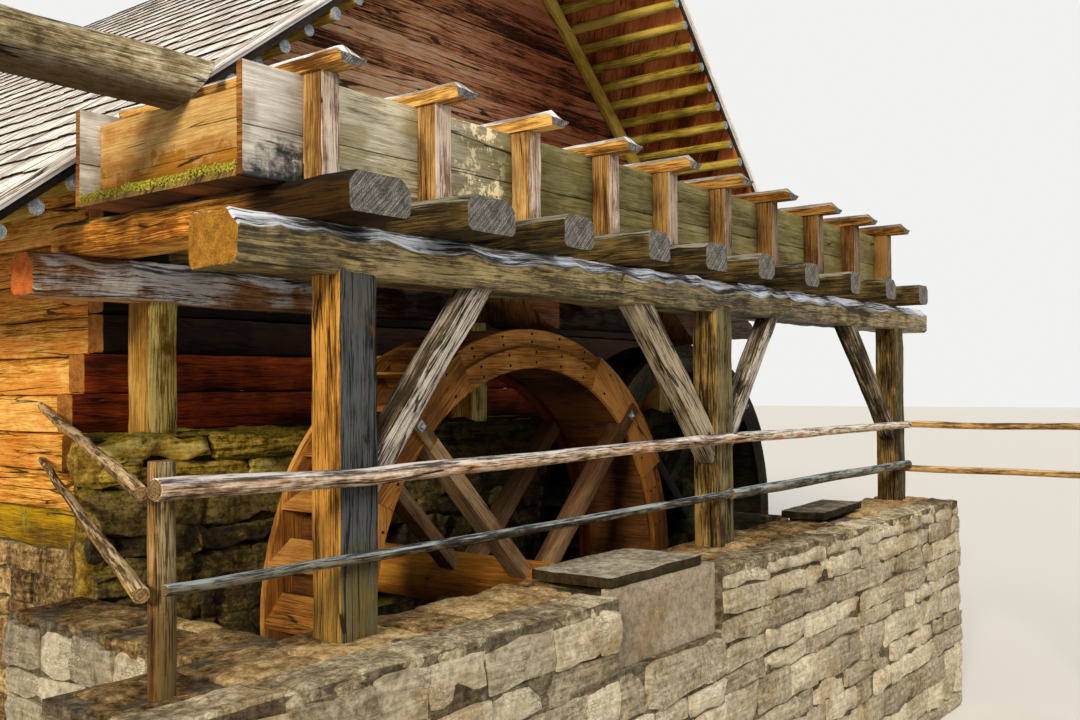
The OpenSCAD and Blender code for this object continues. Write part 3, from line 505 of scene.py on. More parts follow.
# Near-black wood of the upper front logs: painted shade.
SHADED_LOG_WOOD = wood("shaded_log_wood", "#050302", "#130b06", "#2c1a0e", cracks=0.5, knots=0.4)
RED_LOG_WOOD = wood("red_log_wood", "#341002", "#7c2e08", "#a44c16", cracks=0.3, knots=0.9, contrast=0.8,
                    mottle=0.4)
SILL_WOOD = wood("sill_wood", "#4a3806", "#8c6a00", "#b48e0c", cracks=0.4, moss=0.4)
LOG_END = end_grain("log_end", "#5c3412", "#9a6226", "#c48c48", cracks=0.5, saw=0.1)
GABLE_WOOD = wood("gable_wood", "#4a2c1a", "#f0a878", "#ffe0ba", cracks=0.9, knots=0.7, spread=0.6,
                  mottle=0.7, blobs=(0.8, 42.0), contrast=0.85, drift=("#a88474", 0, 3.4, 6.2))
RAFTER_WOOD = wood("rafter_wood", "#5f4a16", "#a88a34", "#d0b254", cracks=0.3)
SHINGLE_WOOD = wood("shingle_wood", "#958c86", "#dcd3cb", "#ffffff", cracks=0.4, knots=0.0, spread=0.6,
                    contrast=0.8)
# Near-black wood for the shingles' butts and sides and the verge's lowest layer: mostly painted shade.
SHADED_BUTT_WOOD = wood("shaded_butt_wood", "#0c0908", "#1c1613", "#352b26", knots=0.0)
SOFFIT_WOOD = wood("soffit_wood", "#5a2a12", "#b06030", "#d88a54", grain="x", cracks=0.3)
POLE_WOOD = wood("pole_wood", "#4f400f", "#9c862c", "#c9b258", cracks=0.3)
POLE_END = end_grain("pole_end", "#4c545c", "#8d979f", "#cfd6da", cracks=0.5, saw=0.1)
RAIL_WOOD = wood("rail_wood", "#33241a", "#a08264", "#e8dac4", cracks=0.3, knots=0.9,
                 top=("#443c38", "#dcd6d0"), stain="#cc9058", mottle=0.8, blobs=(7.0, 34.0))
LOW_RAIL_WOOD = wood("low_rail_wood", "#16100a", "#403626", "#7e7a68", cracks=0.3, knots=0.9, mottle=0.8,
                     blobs=(8.0, 34.0), top=("#262c30", "#98a2a4"))
BARK_RAIL_WOOD = wood("bark_rail_wood", "#2e1e0c", "#7d5c30", "#c09a60", cracks=0.4, knots=0.9,
                      mottle=0.8, blobs=(8.0, 34.0), top=("#4a3a24", "#d0b68c"))
RAIL_END = end_grain("rail_end", "#4a3620", "#7d6440", "#a88e68", cracks=0.5)
POST_POLE_WOOD = wood("post_pole_wood", "#35200c", "#7d5c32", "#b08c5a", front=("#3a2e1c", "#968460"),
                      cracks=0.3, knots=0.6, mottle=1.0, foot=("#aca28c", 2.6, 2.9))
# The drifts darken the right parts of the first wheel's rings and arms as painted shade; the far ring's
# copy paints a stronger shade.
WHEEL_1_WOOD = wood("wheel_1_wood", "#553312", "#99652a", "#c4904e", cracks=0.12, knots=0.5, spread=0.6,
                    contrast=0.8, mottle=0.3, drift=("#b4a48c", 0, 2.9, 4.0))
WHEEL_1_FAR_WOOD = wood("wheel_1_far_wood", "#5c3812", "#a46c2c", "#cc9854", cracks=0.12, knots=0.5,
                        spread=0.6, contrast=0.8, mottle=0.3, drift=("#6e4a30", 0, 1.5, 2.4))
WHEEL_1_ARM_WOOD = wood("wheel_1_arm_wood", "#402a16", "#755638", "#b0926c", cracks=0.12, knots=0.5,
                        spread=0.4, contrast=0.65, mottle=0.3, drift=("#a09080", 0, 2.5, 3.3))
WHEEL_1_DARK = wood("wheel_1_dark", "#663a0a", "#c07820", "#eeac44", cracks=0.1, contrast=0.7, wet=0.8)
# Darker wood for the inner faces of the bucket soles: painted shade inside the wheel.
WHEEL_1_SHADED_INSIDE = wood("wheel_1_inside", "#1a0e07", "#452812", "#6b421f", cracks=0.2, contrast=0.8)
WHEEL_2_WOOD = wood("wheel_2_wood", "#0e0d06", "#2c281a", "#4e4a38", moss=0.1)
WHEEL_END = end_grain("wheel_end", "#6b4424", "#a87544", "#cf9f68", cracks=0.3, saw=0.1)
# Near-black peg ends: painted shade of the peg holes along the rings.
SHADED_PEG_WOOD = end_grain("shaded_peg_wood", "#120a05", "#2a180c", "#4a2e1a", cracks=0.0)
CURB_STONE = stone_finish("curb_stone", "#6b614e", "#b4a88e", "#e6dcc4", moss=0.0, stain="#c8ae84",
                          grit=0.9)
CAP_STONE = stone_finish("cap_stone", "#453a28", "#988a6c", "#e8dcbc", moss=-0.1, stain="#b08c50", up=0.2)
EARTH_STONE = stone_finish("earth_stone", "#3c2c14", "#987c50", "#e0c490", moss=-0.02, stain="#b07c3c",
                           up=0.2)
# The drifts of the rubble and the ledge darken them to the right: painted shade.
RUBBLE_STONE = stone_finish("rubble_stone", "#171208", "#5c4a20", "#b09850", moss=0.1, wet=0.4,
                            stain="#8c8048", drift=("#d4dcd0", 0.9, 2.2))
LEDGE_STONE = stone_finish("ledge_stone", "#645210", "#f0ca54", "#fff8a8", moss=0.25, stain="#d0b048",
                           layered=1.0, drift=("#3f4440", 0.9, 2.0))
# The edges colour paints shade on the slabs' upright faces.
SLAB_STONE = stone_finish("slab_stone", "#4a4438", "#8c8370", "#c4bca8", moss=0.0, stain="#b8a078",
                          depth=0.006, edges="#544a34")
BANK_STONE = stone_finish("bank_stone", "#2a2008", "#94762a", "#d8b858", moss=0.3, stain="#b89448")
CONCRETE = stone_finish("concrete", "#786c5c", "#b4a68e", "#cfc2ac", moss=0.0, depth=0.003,
                        stain="#c8ae88", grit=0.6, layered=0.1)
MORTAR = stone_finish("mortar", "#1a150b", "#42371f", "#6b5c38", moss=0.1)
CURB_MORTAR = stone_finish("curb_mortar", "#4a4234", "#867a62", "#b4a88c", moss=0.0)
STEEL = metal_finish("steel", "#6b7076", "#b3b8bd", 0.35)
IRON = metal_finish("iron", "#2e2a27", "#6b625a", 0.45)


# Meshes
class Piece:
    """Gathers faces with their grain coordinates, finish numbers and tones, and makes one object."""

    def __init__(self, name):
        self.name = name
        self.points, self.faces, self.grain, self.finish, self.tones = [], [], [], [], []

    def add(self, points, faces, grain, finish, tone):
        first = len(self.points)
        self.points.extend(points)
        for face, places, number in zip(faces, grain, finish):
            self.faces.append([first + corner for corner in face])
            self.grain.extend(part for place in places for part in place)
            self.finish.append(number)
            self.tones.append(tone)

    def make(self, materials, body, slot, replaces=(), edge=38):
        mesh = bpy.data.meshes.new(self.name)
        mesh.from_pydata(self.points, [], self.faces)
        mesh.uv_layers.new(name="grain").data.foreach_set("uv", self.grain)
        mesh.attributes.new("tone", "FLOAT", "FACE").data.foreach_set("value", self.tones)
        for material in materials:
            mesh.materials.append(material)
        mesh.polygons.foreach_set("material_index", self.finish)
        mesh.polygons.foreach_set("use_smooth", [True] * len(self.faces))
        mesh.set_sharp_from_angle(angle=radians(edge))
        mesh.validate()
        piece = bpy.data.objects.new(self.name, mesh)
        bpy.context.collection.objects.link(piece)
        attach(piece, body)
        if replaces:
            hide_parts(*replaces)


def skin(piece, rings, ends, tone, finish=(0, 1)):
    """Skins closed rings of points along a length. ends are the flat coordinates of the two end rings."""
    count = len(rings[0])
    reach, first = vary(0, 30), vary(0, 30)
    around = [0.0]
    middle = rings[len(rings) // 2]
    for k in range(count):
        around.append(around[-1] + (middle[(k + 1) % count] - middle[k]).length)
    points = [point for ring in rings for point in ring]
    faces, grain, numbers = [], [], []
    for row in range(len(rings) - 1):
        further = reach + (rings[row + 1][0] - rings[row][0]).length
        near, far = row * count, (row + 1) * count
        for k in range(count):
            k2 = (k + 1) % count
            faces.append((near + k, near + k2, far + k2, far + k))
            v, v2 = first + around[k], first + around[k + 1]
            grain.append(((reach, v), (reach, v2), (further, v2), (further, v)))
            numbers.append(finish[0])
        reach = further
    for row, flat in ((0, ends[0]), (len(rings) - 1, ends[1])):
        base = row * count
        centre = len(points)
        points.append(sum(rings[row], Vector()) / count)
        flat_centre = (sum(u for u, _ in flat) / count, sum(v for _, v in flat) / count)
        for k in range(count):
            k2 = (k + 1) % count
            a, b = (k, k2) if row else (k2, k)
            faces.append((centre, base + a, base + b))
            grain.append((flat_centre, flat[a], flat[b]))
            numbers.append(finish[1])
    piece.add(points, faces, grain, numbers, tone)


def axes(start, end, across):
    """A right-handed set: across, up and along, for a length from start to end."""
    along = (end - start).normalized()
    side = (across - along * across.dot(along)).normalized()
    return side, along.cross(side), along


def random_seed():
    return Vector((vary(0, 90), vary(0, 90), vary(0, 90)))


def ripple(seed, x, y, z):
    """Smooth noise at a place, another one for each seed."""
    return noise.noise(seed + Vector((x, y, z)))


def hint(way):
    """An axis that is never close to the way."""
    return Z if abs(way.z) < 0.9 else X


def circle(radius, sides):
    """Flat points evenly spaced round a circle."""
    return [(radius * cos(2 * pi * k / sides), radius * sin(2 * pi * k / sides)) for k in range(sides)]


def outline(width, height, radii, bend_share=0.29):
    """The section of a timber with its four corners worn off, or cut flat at a bend share of one half."""
    w, h = width / 2, height / 2
    points = []
    for (sx, sy), r in zip(((1, -1), (1, 1), (-1, 1), (-1, -1)), radii):
        flat = (sx * (w - r), sy * h)
        bend = (sx * (w - bend_share * r), sy * (h - bend_share * r))
        tall = (sx * w, sy * (h - r))
        points += [flat, bend, tall] if sx * sy < 0 else [tall, bend, flat]
        points.append((w * sx if sx * sy < 0 else 0.0, 0.0 if sx * sy < 0 else h * sy))
    return points


def timber(piece, start, end, across, width, height, bevel=0.012, rough=0.004, bow=0.0, tone=None,
           step=0.1, worn=0.005, finish=(0, 1), bend_share=0.29):
    """A hewn timber whose edges and faces wander a little along its length."""
    tone = DRAW.random() if tone is None else tone
    bevels = bevel if isinstance(bevel, tuple) else (bevel,) * 4
    side, up, along = axes(start, end, across)
    length = (end - start).length
    seed = random_seed()
    count = max(2, round(length / step))
    stations = [0.0, worn] + [worn + (length - 2 * worn) * k / count for k in range(1, count)]
    stations += [length - worn, length]
    rings = []
    for s in stations:
        shrink = worn if s in (0.0, length) else 0.0
        radii = [corner * (0.6 + abs(ripple(seed, s * 1.9, k * 7.3, 0))) + shrink / 2
                 for k, corner in enumerate(bevels)]
        lift = bow * sin(pi * s / length)
        ring = []
        for x, y in outline(width - shrink, height - shrink, radii, bend_share):
            bump = rough * ripple(seed, s * 3.1, x * 11, y * 11)
            bump += rough * 0.5 * ripple(seed, s * 14, x * 31, y * 31)
            swell = 1 + bump / (hypot(x, y) or 1.0)
            ring.append(start + along * s + side * (x * swell) + up * (y * swell + lift))
        rings.append(ring)
    flat = outline(width, height, bevels, bend_share)
    skin(piece, rings, (flat, flat), tone, finish)


def board(piece, low, high, grain, rough=0.0015, bevel=0.004, step=0.25, finish=(0, 0)):
    """A plank in the box from low to high, with its grain along the named axis."""
    low, high = Vector(low), Vector(high)
    middle, size = (low + high) / 2, high - low
    number = "xyz".index(grain)
    along = (X, Y, Z)[number]
    across = (Y, X, X)[number]
    width, height = ((size.y, size.z), (size.x, size.z), (size.x, size.y))[number]
    half = along * size[number] / 2
    timber(piece, middle - half, middle + half, across, width, height, bevel, rough, step=step,
           worn=0.002, finish=finish)


def wander(start, end, count, amount):
    """Points of a nearly straight natural stem."""
    seed = random_seed()
    side, up, along = axes(start, end, hint((end - start).normalized()))
    length = (end - start).length
    path = []
    for k in range(count + 1):
        t = k / count
        sway = amount * sin(pi * t) ** 0.5
        a = ripple(seed, t * length * 0.8, 0, 0) * sway
        b = ripple(seed, 0, t * length * 0.8, 5) * sway
        path.append(start + along * length * t + side * a + up * b)
    return path


def worn_path(path, worn):
    """The path with one more point near each end, where the edge is worn off."""
    first = path[0] + (path[1] - path[0]).normalized() * worn
    last = path[-1] + (path[-2] - path[-1]).normalized() * worn
    return [path[0], first] + path[1:-1] + [last, path[-1]]


def pole(piece, path, radius, rough=0.05, worn=0.004, lumps=0.0, finish=(0, 1), section=None, slant=0.0):
    """A round stem along a path. radius is a number or a function of the share of its length.
    slant leans its far end back below."""
    tone = DRAW.random()
    size = radius if callable(radius) else (lambda t: radius)
    shape_of = section or (lambda r: circle(r, POLE_SIDES))
    seed = random_seed()
    side = None
    rings = []
    reach = 0.0
    path = worn_path(path, worn)
    total = sum((b - a).length for a, b in zip(path, path[1:]))
    for number, point in enumerate(path):
        before, after = path[max(0, number - 1)], path[min(len(path) - 1, number + 1)]
        along = (after - before).normalized()
        across = side or hint(along)
        side = (across - along * across.dot(along)).normalized()
        up = along.cross(side)
        if number:
            reach += (point - before).length
        t = reach / total
        r = size(t) - (worn if number in (0, len(path) - 1) else 0.0)
        r *= 1 + lumps * max(0.0, ripple(seed, reach * 2.2, 3, 9))
        ring = []
        for x, y in shape_of(r):
            swell = 1 + rough * ripple(seed, reach * 2.5, x / r * 1.4, y / r * 1.4)
            swell += rough * 0.6 * ripple(seed, reach * 9, x / r * 3, y / r * 3)
            spot = point + side * x * swell + up * y * swell
            if slant and t > 0.8:
                spot += along * min(0.0, (spot.z - point.z - r) * slant + (total - reach))
            ring.append(spot)
        rings.append(ring)
    flat = shape_of(size(0.5))
    skin(piece, rings, (flat, flat), tone, finish)


def stone(piece, place, size, cells=(3, 2, 2), rough=0.02, rounding=0.03, finish=0):
    """A worn, lumpy block with its middle at the origin of place."""
    tone = DRAW.random()
    seed = random_seed()
    half = Vector(size) / 2
    rounding = min(rounding, min(half) * 0.9)
    lattice, points = {}, []

    def corner(key):
        """The number of the point at one place of the lattice."""
        if key not in lattice:
            spot = Vector([half[a] * (2 * key[a] / cells[a] - 1) for a in range(3)])
            inner = Vector([max(-half[a] + rounding, min(half[a] - rounding, spot[a])) for a in range(3)])
            if (spot - inner).length > 1e-6:
                spot = inner + (spot - inner).normalized() * rounding
            coarse = Vector([noise.noise(seed + spot * 4.5 + X * 9 * a) for a in range(3)])
            fine = Vector([noise.noise(seed + spot * 15 + Y * 9 * a) for a in range(3)])
            lattice[key] = len(points)
            points.append(place @ (spot + (coarse + fine * 0.4) * rough))
        return lattice[key]

    faces = []
    for axis in range(3):
        u, v = (axis + 1) % 3, (axis + 2) % 3
        for level in (0, cells[axis]):
            for i in range(cells[u]):
                for j in range(cells[v]):
                    face = []
                    for a, b in ((i, j), (i + 1, j), (i + 1, j + 1), (i, j + 1)):
                        key = [0, 0, 0]
                        key[axis], key[u], key[v] = level, a, b
                        face.append(corner(tuple(key)))
                    faces.append(face if level else face[::-1])
    piece.add(points, faces, [[(0.0, 0.0)] * 4] * len(faces), [finish] * len(faces), tone)


def divide(start, end, sizes):
    """Steps of random sizes from start to end, the last one not much shorter than the others."""
    while start < end - 0.02:
        step = min(vary(*sizes), end - start)
        if end - start - step < sizes[0] * 0.6:
            step = end - start
        yield start, step
        start += step


def masonry(piece, origin, inward, up, length, height, course=(0.14, 0.3), stones=(0.22, 0.65),
            proud=0.022, deep=0.16, rough=0.035, cells=(4, 2, 3), keep=None, uneven=1.0, finish=0):
    """Rough courses of stones on a flat face. origin is its lower left corner seen from outside."""
    along = inward.cross(up)
    turn = Matrix((along, inward, up)).transposed().to_4x4()
    for level, rise in divide(0.0, height, course):
        for reach, run in divide(0.0, length, stones):
            if keep is None or keep(reach, reach + run, level, level + rise):
                out = proud + vary(-0.4, 1.0) * proud * uneven
                middle = origin + along * (reach + run / 2) + up * (level + rise / 2)
                middle += inward * (deep / 2 - out)
                tilt = Matrix.Rotation(radians(vary(-2, 2)), 4, "Y")
                size = (run + 0.02, deep, rise + 0.015 - vary(0, 0.02))
                place = Matrix.Translation(middle) @ turn @ tilt
                stone(piece, place, size, cells, rough, 0.04, finish)


def wall_face(piece, x, y, inward, length, height, **how):
    """An upright face that starts on the pit's bed."""
    masonry(piece, Vector((x, y, 0)), inward, Z, length, height, **how)


def capping(piece, x0, x1, y0, y1, lengths, rough, finish):
    """Flat stones laid end to end on the curb or on the pit's end wall."""
    thick = 0.1
    cell = 0.05
    for x, run in divide(x0, x1, lengths):
        top = CURB_TOP + vary(-0.008, 0.01) + 0.012
        place = Matrix.Translation((x + run / 2, (y0 + y1) / 2, top - thick / 2))
        place = place @ Matrix.Rotation(radians(vary(-0.7, 0.7)), 4, "Y")
        cells = (max(2, round(run / cell)), max(2, round((y1 - y0) / cell)), 3)
        stone(piece, place, (run - 0.002, y1 - y0, thick), cells, rough, 0.02, finish)


def dress(node, *materials):
    """Gives a CAD node its materials."""
    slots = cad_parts[node].data.materials
    slots.clear()
    for material in materials:
        slots.append(material)


# Trestle
def make_outer_posts():
    piece = Piece("outer_post_timbers")
    low, high = BOX["outer_posts"]
    depth = high.y - low.y
    for x, tone, finish in zip(POST_X, (0.5, 0.5, 0.35), (2, 0, 0)):
        foot = Vector((x + POST_W / 2, depth / 2, low.z - 0.01))
        timber(piece, foot, foot + Z * (high.z - low.z + 0.05), X, POST_W, depth, bevel=0.02,
               rough=0.007, tone=tone, step=0.06, finish=(finish, 1))
    piece.make([POST_WOOD, BEAM_END, FIRST_POST_WOOD], "mill", "weathered_wood", ["outer_posts"])


def make_inner_posts():
    piece = Piece("inner_post_timbers")
    low, high = BOX["inner_posts"]
    depth = high.y - low.y
    width = 0.23
    for x in (low.x, (low.x + high.x - width) / 2, high.x - width):
        foot = Vector((x + width / 2, low.y + depth / 2, low.z - 0.01))
        timber(piece, foot, foot + Z * (high.z - low.z + 0.05), X, width, depth, bevel=0.018,
               rough=0.006, step=0.08)
    piece.make([INNER_POST_WOOD, BEAM_END], "mill", "weathered_wood", ["inner_posts"])


def make_beams():
    hewn = (0.03, 0.06, 0.12, 0.035)
    for node, materials in (("outer_beam", [BEAM_WOOD, BEAM_END]),
                            ("inner_beam", [INNER_BEAM_WOOD, INNER_BEAM_END])):
        piece = Piece(node + "_log")
        low, high = BOX[node]
        middle = (low + high) / 2
        start, end = Vector((low.x, middle.y, middle.z)), Vector((high.x, middle.y, middle.z))
        timber(piece, start, end, Y, high.y - low.y, high.z - low.z, hewn, rough=0.012, tone=0.5,
               step=0.06, worn=0.012, bend_share=0.45)
        piece.make(materials, "mill", "weathered_wood", [node])


def make_braces():
    piece = Piece("brace_timbers")
    low, high = BOX["braces"]
    depth = (low.y + high.y) / 2
    # For each brace the face of its post, its side, and its run, drop and width
    for x, side, run, drop, width in ((POST_X[0] + POST_W, 1, 1.00, 1.20, 0.15),
                                      (POST_X[1], -1, 1.18, 1.27, 0.20),
                                      (POST_X[1] + POST_W, 1, 0.95, 1.17, 0.13),
                                      (POST_X[2], -1, 1.30, 1.25, 0.17)):
        slant = hypot(run, drop)
        foot = Vector((x, depth, high.z - drop + width * slant / run / 2))
        head = Vector((x + side * (run - width * slant / drop / 2), depth, high.z))
        way = (head - foot).normalized()
        timber(piece, foot - way * 0.06, head + way * 0.08, Y, high.y - low.y, width, bevel=0.014,
               rough=0.006, bow=0.012 * side, step=0.07, finish=(0 if side > 0 else 2, 1))
    piece.make([BRACE_WOOD, BEAM_END, DARK_BRACE_WOOD], "mill", "weathered_wood", ["braces"])


def make_cross_logs():
    piece = Piece("cross_log_timbers")
    hewn = (0.04, 0.07, 0.05, 0.04)
    low, high = BOX["cross_logs"]
    for number, (x, width) in enumerate(zip(FRAME_X, CROSS_WIDTHS)):
        middle = (low.z + high.z) / 2
        start = Vector((x, low.y + vary(0, 0.03), middle))
        end = Vector((x, high.y - vary(0, 0.05), middle))
        # The first log takes the lit cross wood, with painted light.
        timber(piece, end, start, X, width, high.z - low.z, hewn, rough=0.007, tone=0.5, step=0.06,
               worn=0.006, finish=(0 if number else 2, 1), bend_share=0.45)
    piece.make([CROSS_WOOD, CROSS_END, LIT_CROSS_WOOD], "mill", "weathered_wood", ["cross_logs"])


# Flume
def make_flume_sides():
    piece = Piece("flume_side_boards")
    seams = (0.0, 0.26, 0.59)
    joints = [FLUME_X[0], FRAME_X[0], FRAME_X[3], FRAME_X[6], FLUME_X[1]]
    for y in (FLUME_Y[0], FLUME_Y[1] - SIDE_T):
        for number, (left, right) in enumerate(zip(joints, joints[1:])):
            for low, high in zip(seams, seams[1:]):
                rise = 0.3 * vary(-0.02, 0.02) if low else 0.0
                board(piece, (left + 0.002, y + vary(0, 0.004), DECK + low + 0.003),
                      (right - 0.002, y + SIDE_T, DECK + high - 0.003 + rise), "x",
                      rough=0.004, finish=(0 if number else 1, 2))
    cleat = FRAME_X[0] - FRAME_POST_W / 2 - 0.015
    board(piece, (cleat - 0.05, FLUME_Y[0] - 0.022, DECK - 0.02), (cleat, FLUME_Y[0] + 0.002, DECK + 0.12),
          "z", finish=(1, 1))
    piece.make([FLUME_WOOD, BOX_WOOD, BOX_EDGE_WOOD], "mill", "weathered_wood", ["flume_sides"])


def make_flume_ends():
    piece = Piece("flume_end_boards")
    low, high = BOX["flume_ends"]
    near, far = FLUME_Y[0] + SIDE_T + 0.002, FLUME_Y[1] - SIDE_T - 0.002
    waste = 0.19
    seam = low.z + 0.13
    for x, top in ((low.x, high.z), (high.x - SIDE_T, high.z - waste)):
        board(piece, (x, near, low.z), (x + SIDE_T, far, seam - 0.003), "y", rough=0.004)
        board(piece, (x, near, seam), (x + SIDE_T, far, top), "y", rough=0.004)
    piece.make([BOX_END_WOOD], "mill", "weathered_wood", ["flume_ends"])


def make_moss_lip():
    """Small tufts that hang from the lower edge of the flume's first end."""
    piece = Piece("flume_moss_lip")
    near, far = FLUME_Y[0] + SIDE_T + 0.002, FLUME_Y[1] - SIDE_T - 0.002
    tufts = 1300
    for k in range(tufts):
        share = (k + DRAW.random()) / tufts
        thick = 0.014 + 0.05 * max(0.0, noise.noise(Vector((share * 7, 0, 4)))) + 0.02 * (1 - share)
        back = DRAW.random()
        hang = 0.045 * (1 - back) * DRAW.random()
        z = BOX["flume_ends"][0].z - hang + thick * (0.4 + 0.6 * back) * DRAW.random()
        spot = Vector((FLUME_X[0] - 0.004 + 0.13 * back * back, near + (far - near) * share, z))
        size = [vary(0.008, 0.02) for axis in range(3)]
        turn = Matrix.Rotation(vary(0, 3), 4, "Y") @ Matrix.Rotation(vary(0, 3), 4, "Z")
        stone(piece, Matrix.Translation(spot) @ turn, size, (2, 2, 2), rough=0.008, rounding=0.006)
    piece.make([MOSS], "mill", "weathered_wood")


def make_frame_posts():
    piece = Piece("frame_post_timbers")
    low, high = BOX["frame_posts"]
    for x in FRAME_X:
        for y in (low.y, high.y - FRAME_POST_D):
            foot = Vector((x, y + FRAME_POST_D / 2, low.z - 0.004))
            timber(piece, foot, foot + Z * (high.z - low.z + 0.01), X, FRAME_POST_W + vary(-0.01, 0.01),
                   FRAME_POST_D, bevel=0.01, step=0.06)
    piece.make([FRAME_WOOD, CROSS_END], "mill", "weathered_wood", ["frame_posts"])


def cap_outline(half, thick):
    """The lumpy section of one cap, from under its right side over its top to its left."""
    shares = ((0.4, 0.0), (1.0, 0.4), (1.0, 0.64), (0.3, 0.85), (-0.35, 1.0), (-0.8, 0.88), (-1.0, 0.68),
              (-0.97, 0.3), (-0.9, 0.0), (-0.2, 0.0))
    return [(half * x, thick * z) for x, z in shares]


def make_frame_caps():
    piece = Piece("frame_cap_timbers")
    low, high = BOX["frame_caps"]
    slope_end = 0.09
    for x in FRAME_X:
        seed = random_seed()
        half = CAP_W / 2 * vary(0.9, 1.0)
        thick = CAP_T * vary(0.92, 1.0)
        face = 0.5 * thick
        full = cap_outline(half, thick)
        cut = [(px, min(pz, face * (1.0 if px < 0 else 0.9))) for px, pz in full]
        front = low.y + vary(0, 0.03)
        stations = [(front, cut), (front + (thick - face) * 0.9, full)]
        run = high.y - front - slope_end
        stations += [(front + slope_end + run * k / 20, full) for k in range(1, 21)]
        rings = []
        for y, shape in stations:
            ring = []
            for px, pz in shape:
                rise = 0.006 * ripple(seed, px * 14, y * 5, pz * 18) if pz > 0.01 else 0.0
                shift = 0.006 * ripple(seed, px * 14 + 9, y * 7, pz * 18)
                ring.append(Vector((x + px + shift, y, low.z + pz + rise)))
            rings.append(ring)
        skin(piece, rings[::-1], (full, cut), DRAW.random())
    piece.make([CAP_WOOD, CROSS_END], "mill", "weathered_wood", ["frame_caps"])


def feed_section(r):
    """Points in order round the feed log: its round outside, then down and up its channel."""
    start = asin(0.62)
    turns = [pi / 2 + start + 2 * (pi - start) * k / 20 for k in range(21)]
    outer = [(r * sin(turn), -r * cos(turn)) for turn in turns]
    channel = 0.6 * r
    inner = [(0.22 * r - channel * sin(pi * k / 6), -channel * cos(pi * k / 6)) for k in range(7)]
    return outer + inner


def make_feed_log():
    piece = Piece("feed_log_stem")
    low, high = BOX["feed_log"]
    middle = Vector((0, (low.y + high.y) / 2, low.z + (high.y - low.y) / 2))
    start, end = Vector((low.x, middle.y, middle.z)), Vector((high.x, middle.y, middle.z))
    pole(piece, wander(start, end, 34, 0.02), lambda t: 0.163 + 0.004 * sin(9 * t),
         section=feed_section, worn=0.01, slant=tan(radians(35)))
    piece.make([FEED_WOOD, CROSS_END], "mill", "weathered_wood", ["feed_log"], edge=50)


def make_feed_trestle():
    piece = Piece("feed_trestle_timbers")
    low, high = BOX["feed_trestle"]
    log = 0.2
    x, top = (low.x + high.x) / 2, high.z - log / 2
    for y in (low.y + 0.1, high.y - 0.1):
        timber(piece, Vector((x, y, low.z)), Vector((x, y, top)), X, width=0.18, height=0.16, bevel=0.015)
    timber(piece, Vector((x, low.y, top)), Vector((x, high.y, top)), X, log, log - 0.02, bevel=0.05,
           rough=0.008)
    piece.make([FEED_WOOD, CROSS_END], "mill", "weathered_wood", ["feed_trestle"])


# Masonry
def make_curb():
    piece = Piece("curb_stones")
    low, high = BOX["curb_wall"]
    plate_low, plate_high = BOX["front_plate"]
    under_cap = 0.05
    height = CURB_TOP - low.z - under_cap
    long_stones = (0.3, 0.75)
    gap = 0.015
    for x0, x1, top in ((low.x, plate_low.x - gap, height),
                        (plate_low.x - gap, plate_high.x + gap, plate_low.z - gap),
                        (plate_high.x + gap, high.x, height)):
        wall_face(piece, x0, low.y, Y, x1 - x0, top, stones=long_stones)
    wall_face(piece, high.x, high.y, -Y, high.x - low.x, height, stones=long_stones)
    wall_face(piece, low.x, high.y, X, high.y - low.y, height)
    wall_face(piece, high.x, low.y, -X, high.y - low.y, height)
    kerb = 0.3
    for x0, x1 in ((low.x, plate_low.x), (plate_high.x, high.x)):
        capping(piece, x0, x1, low.y, low.y + kerb, (0.5, 1.3), rough=0.022, finish=1)
    pocket = 0.34
    edges = [low.x, WHEEL_X[0] - pocket, WHEEL_X[0] + pocket,
             WHEEL_X[1] - pocket, WHEEL_X[1] + pocket, high.x]
    for x0, x1 in zip(edges[::2], edges[1::2]):
        capping(piece, x0, x1, low.y + kerb - 0.01, high.y, (0.4, 1.0), rough=0.03, finish=2)
    end_low, end_high = BOX["pit_end_wall"]
    run = end_high.y - end_low.y
    wall_face(piece, end_low.x, end_high.y, X, run, height)
    wall_face(piece, end_high.x, end_low.y, -X, run, height)
    for k in range(4):
        y0, y1 = end_low.y + run * k / 4, end_low.y + run * (k + 1) / 4
        capping(piece, end_low.x, end_high.x, y0, y1, (0.25, 0.5), rough=0.035, finish=2)
    piece.make([CURB_STONE, CAP_STONE, EARTH_STONE], "mill", "stone", edge=60)


def clear_of_tunnels(x0, x1, z0, z1):
    """Whether a stone leaves room for the shafts that run into the rubble wall."""
    tunnel = 0.36
    beside = z1 <= WHEEL_Z - tunnel or z0 >= WHEEL_Z + tunnel
    return beside or not any(x1 > x - tunnel and x0 < x + tunnel for x in WHEEL_X)


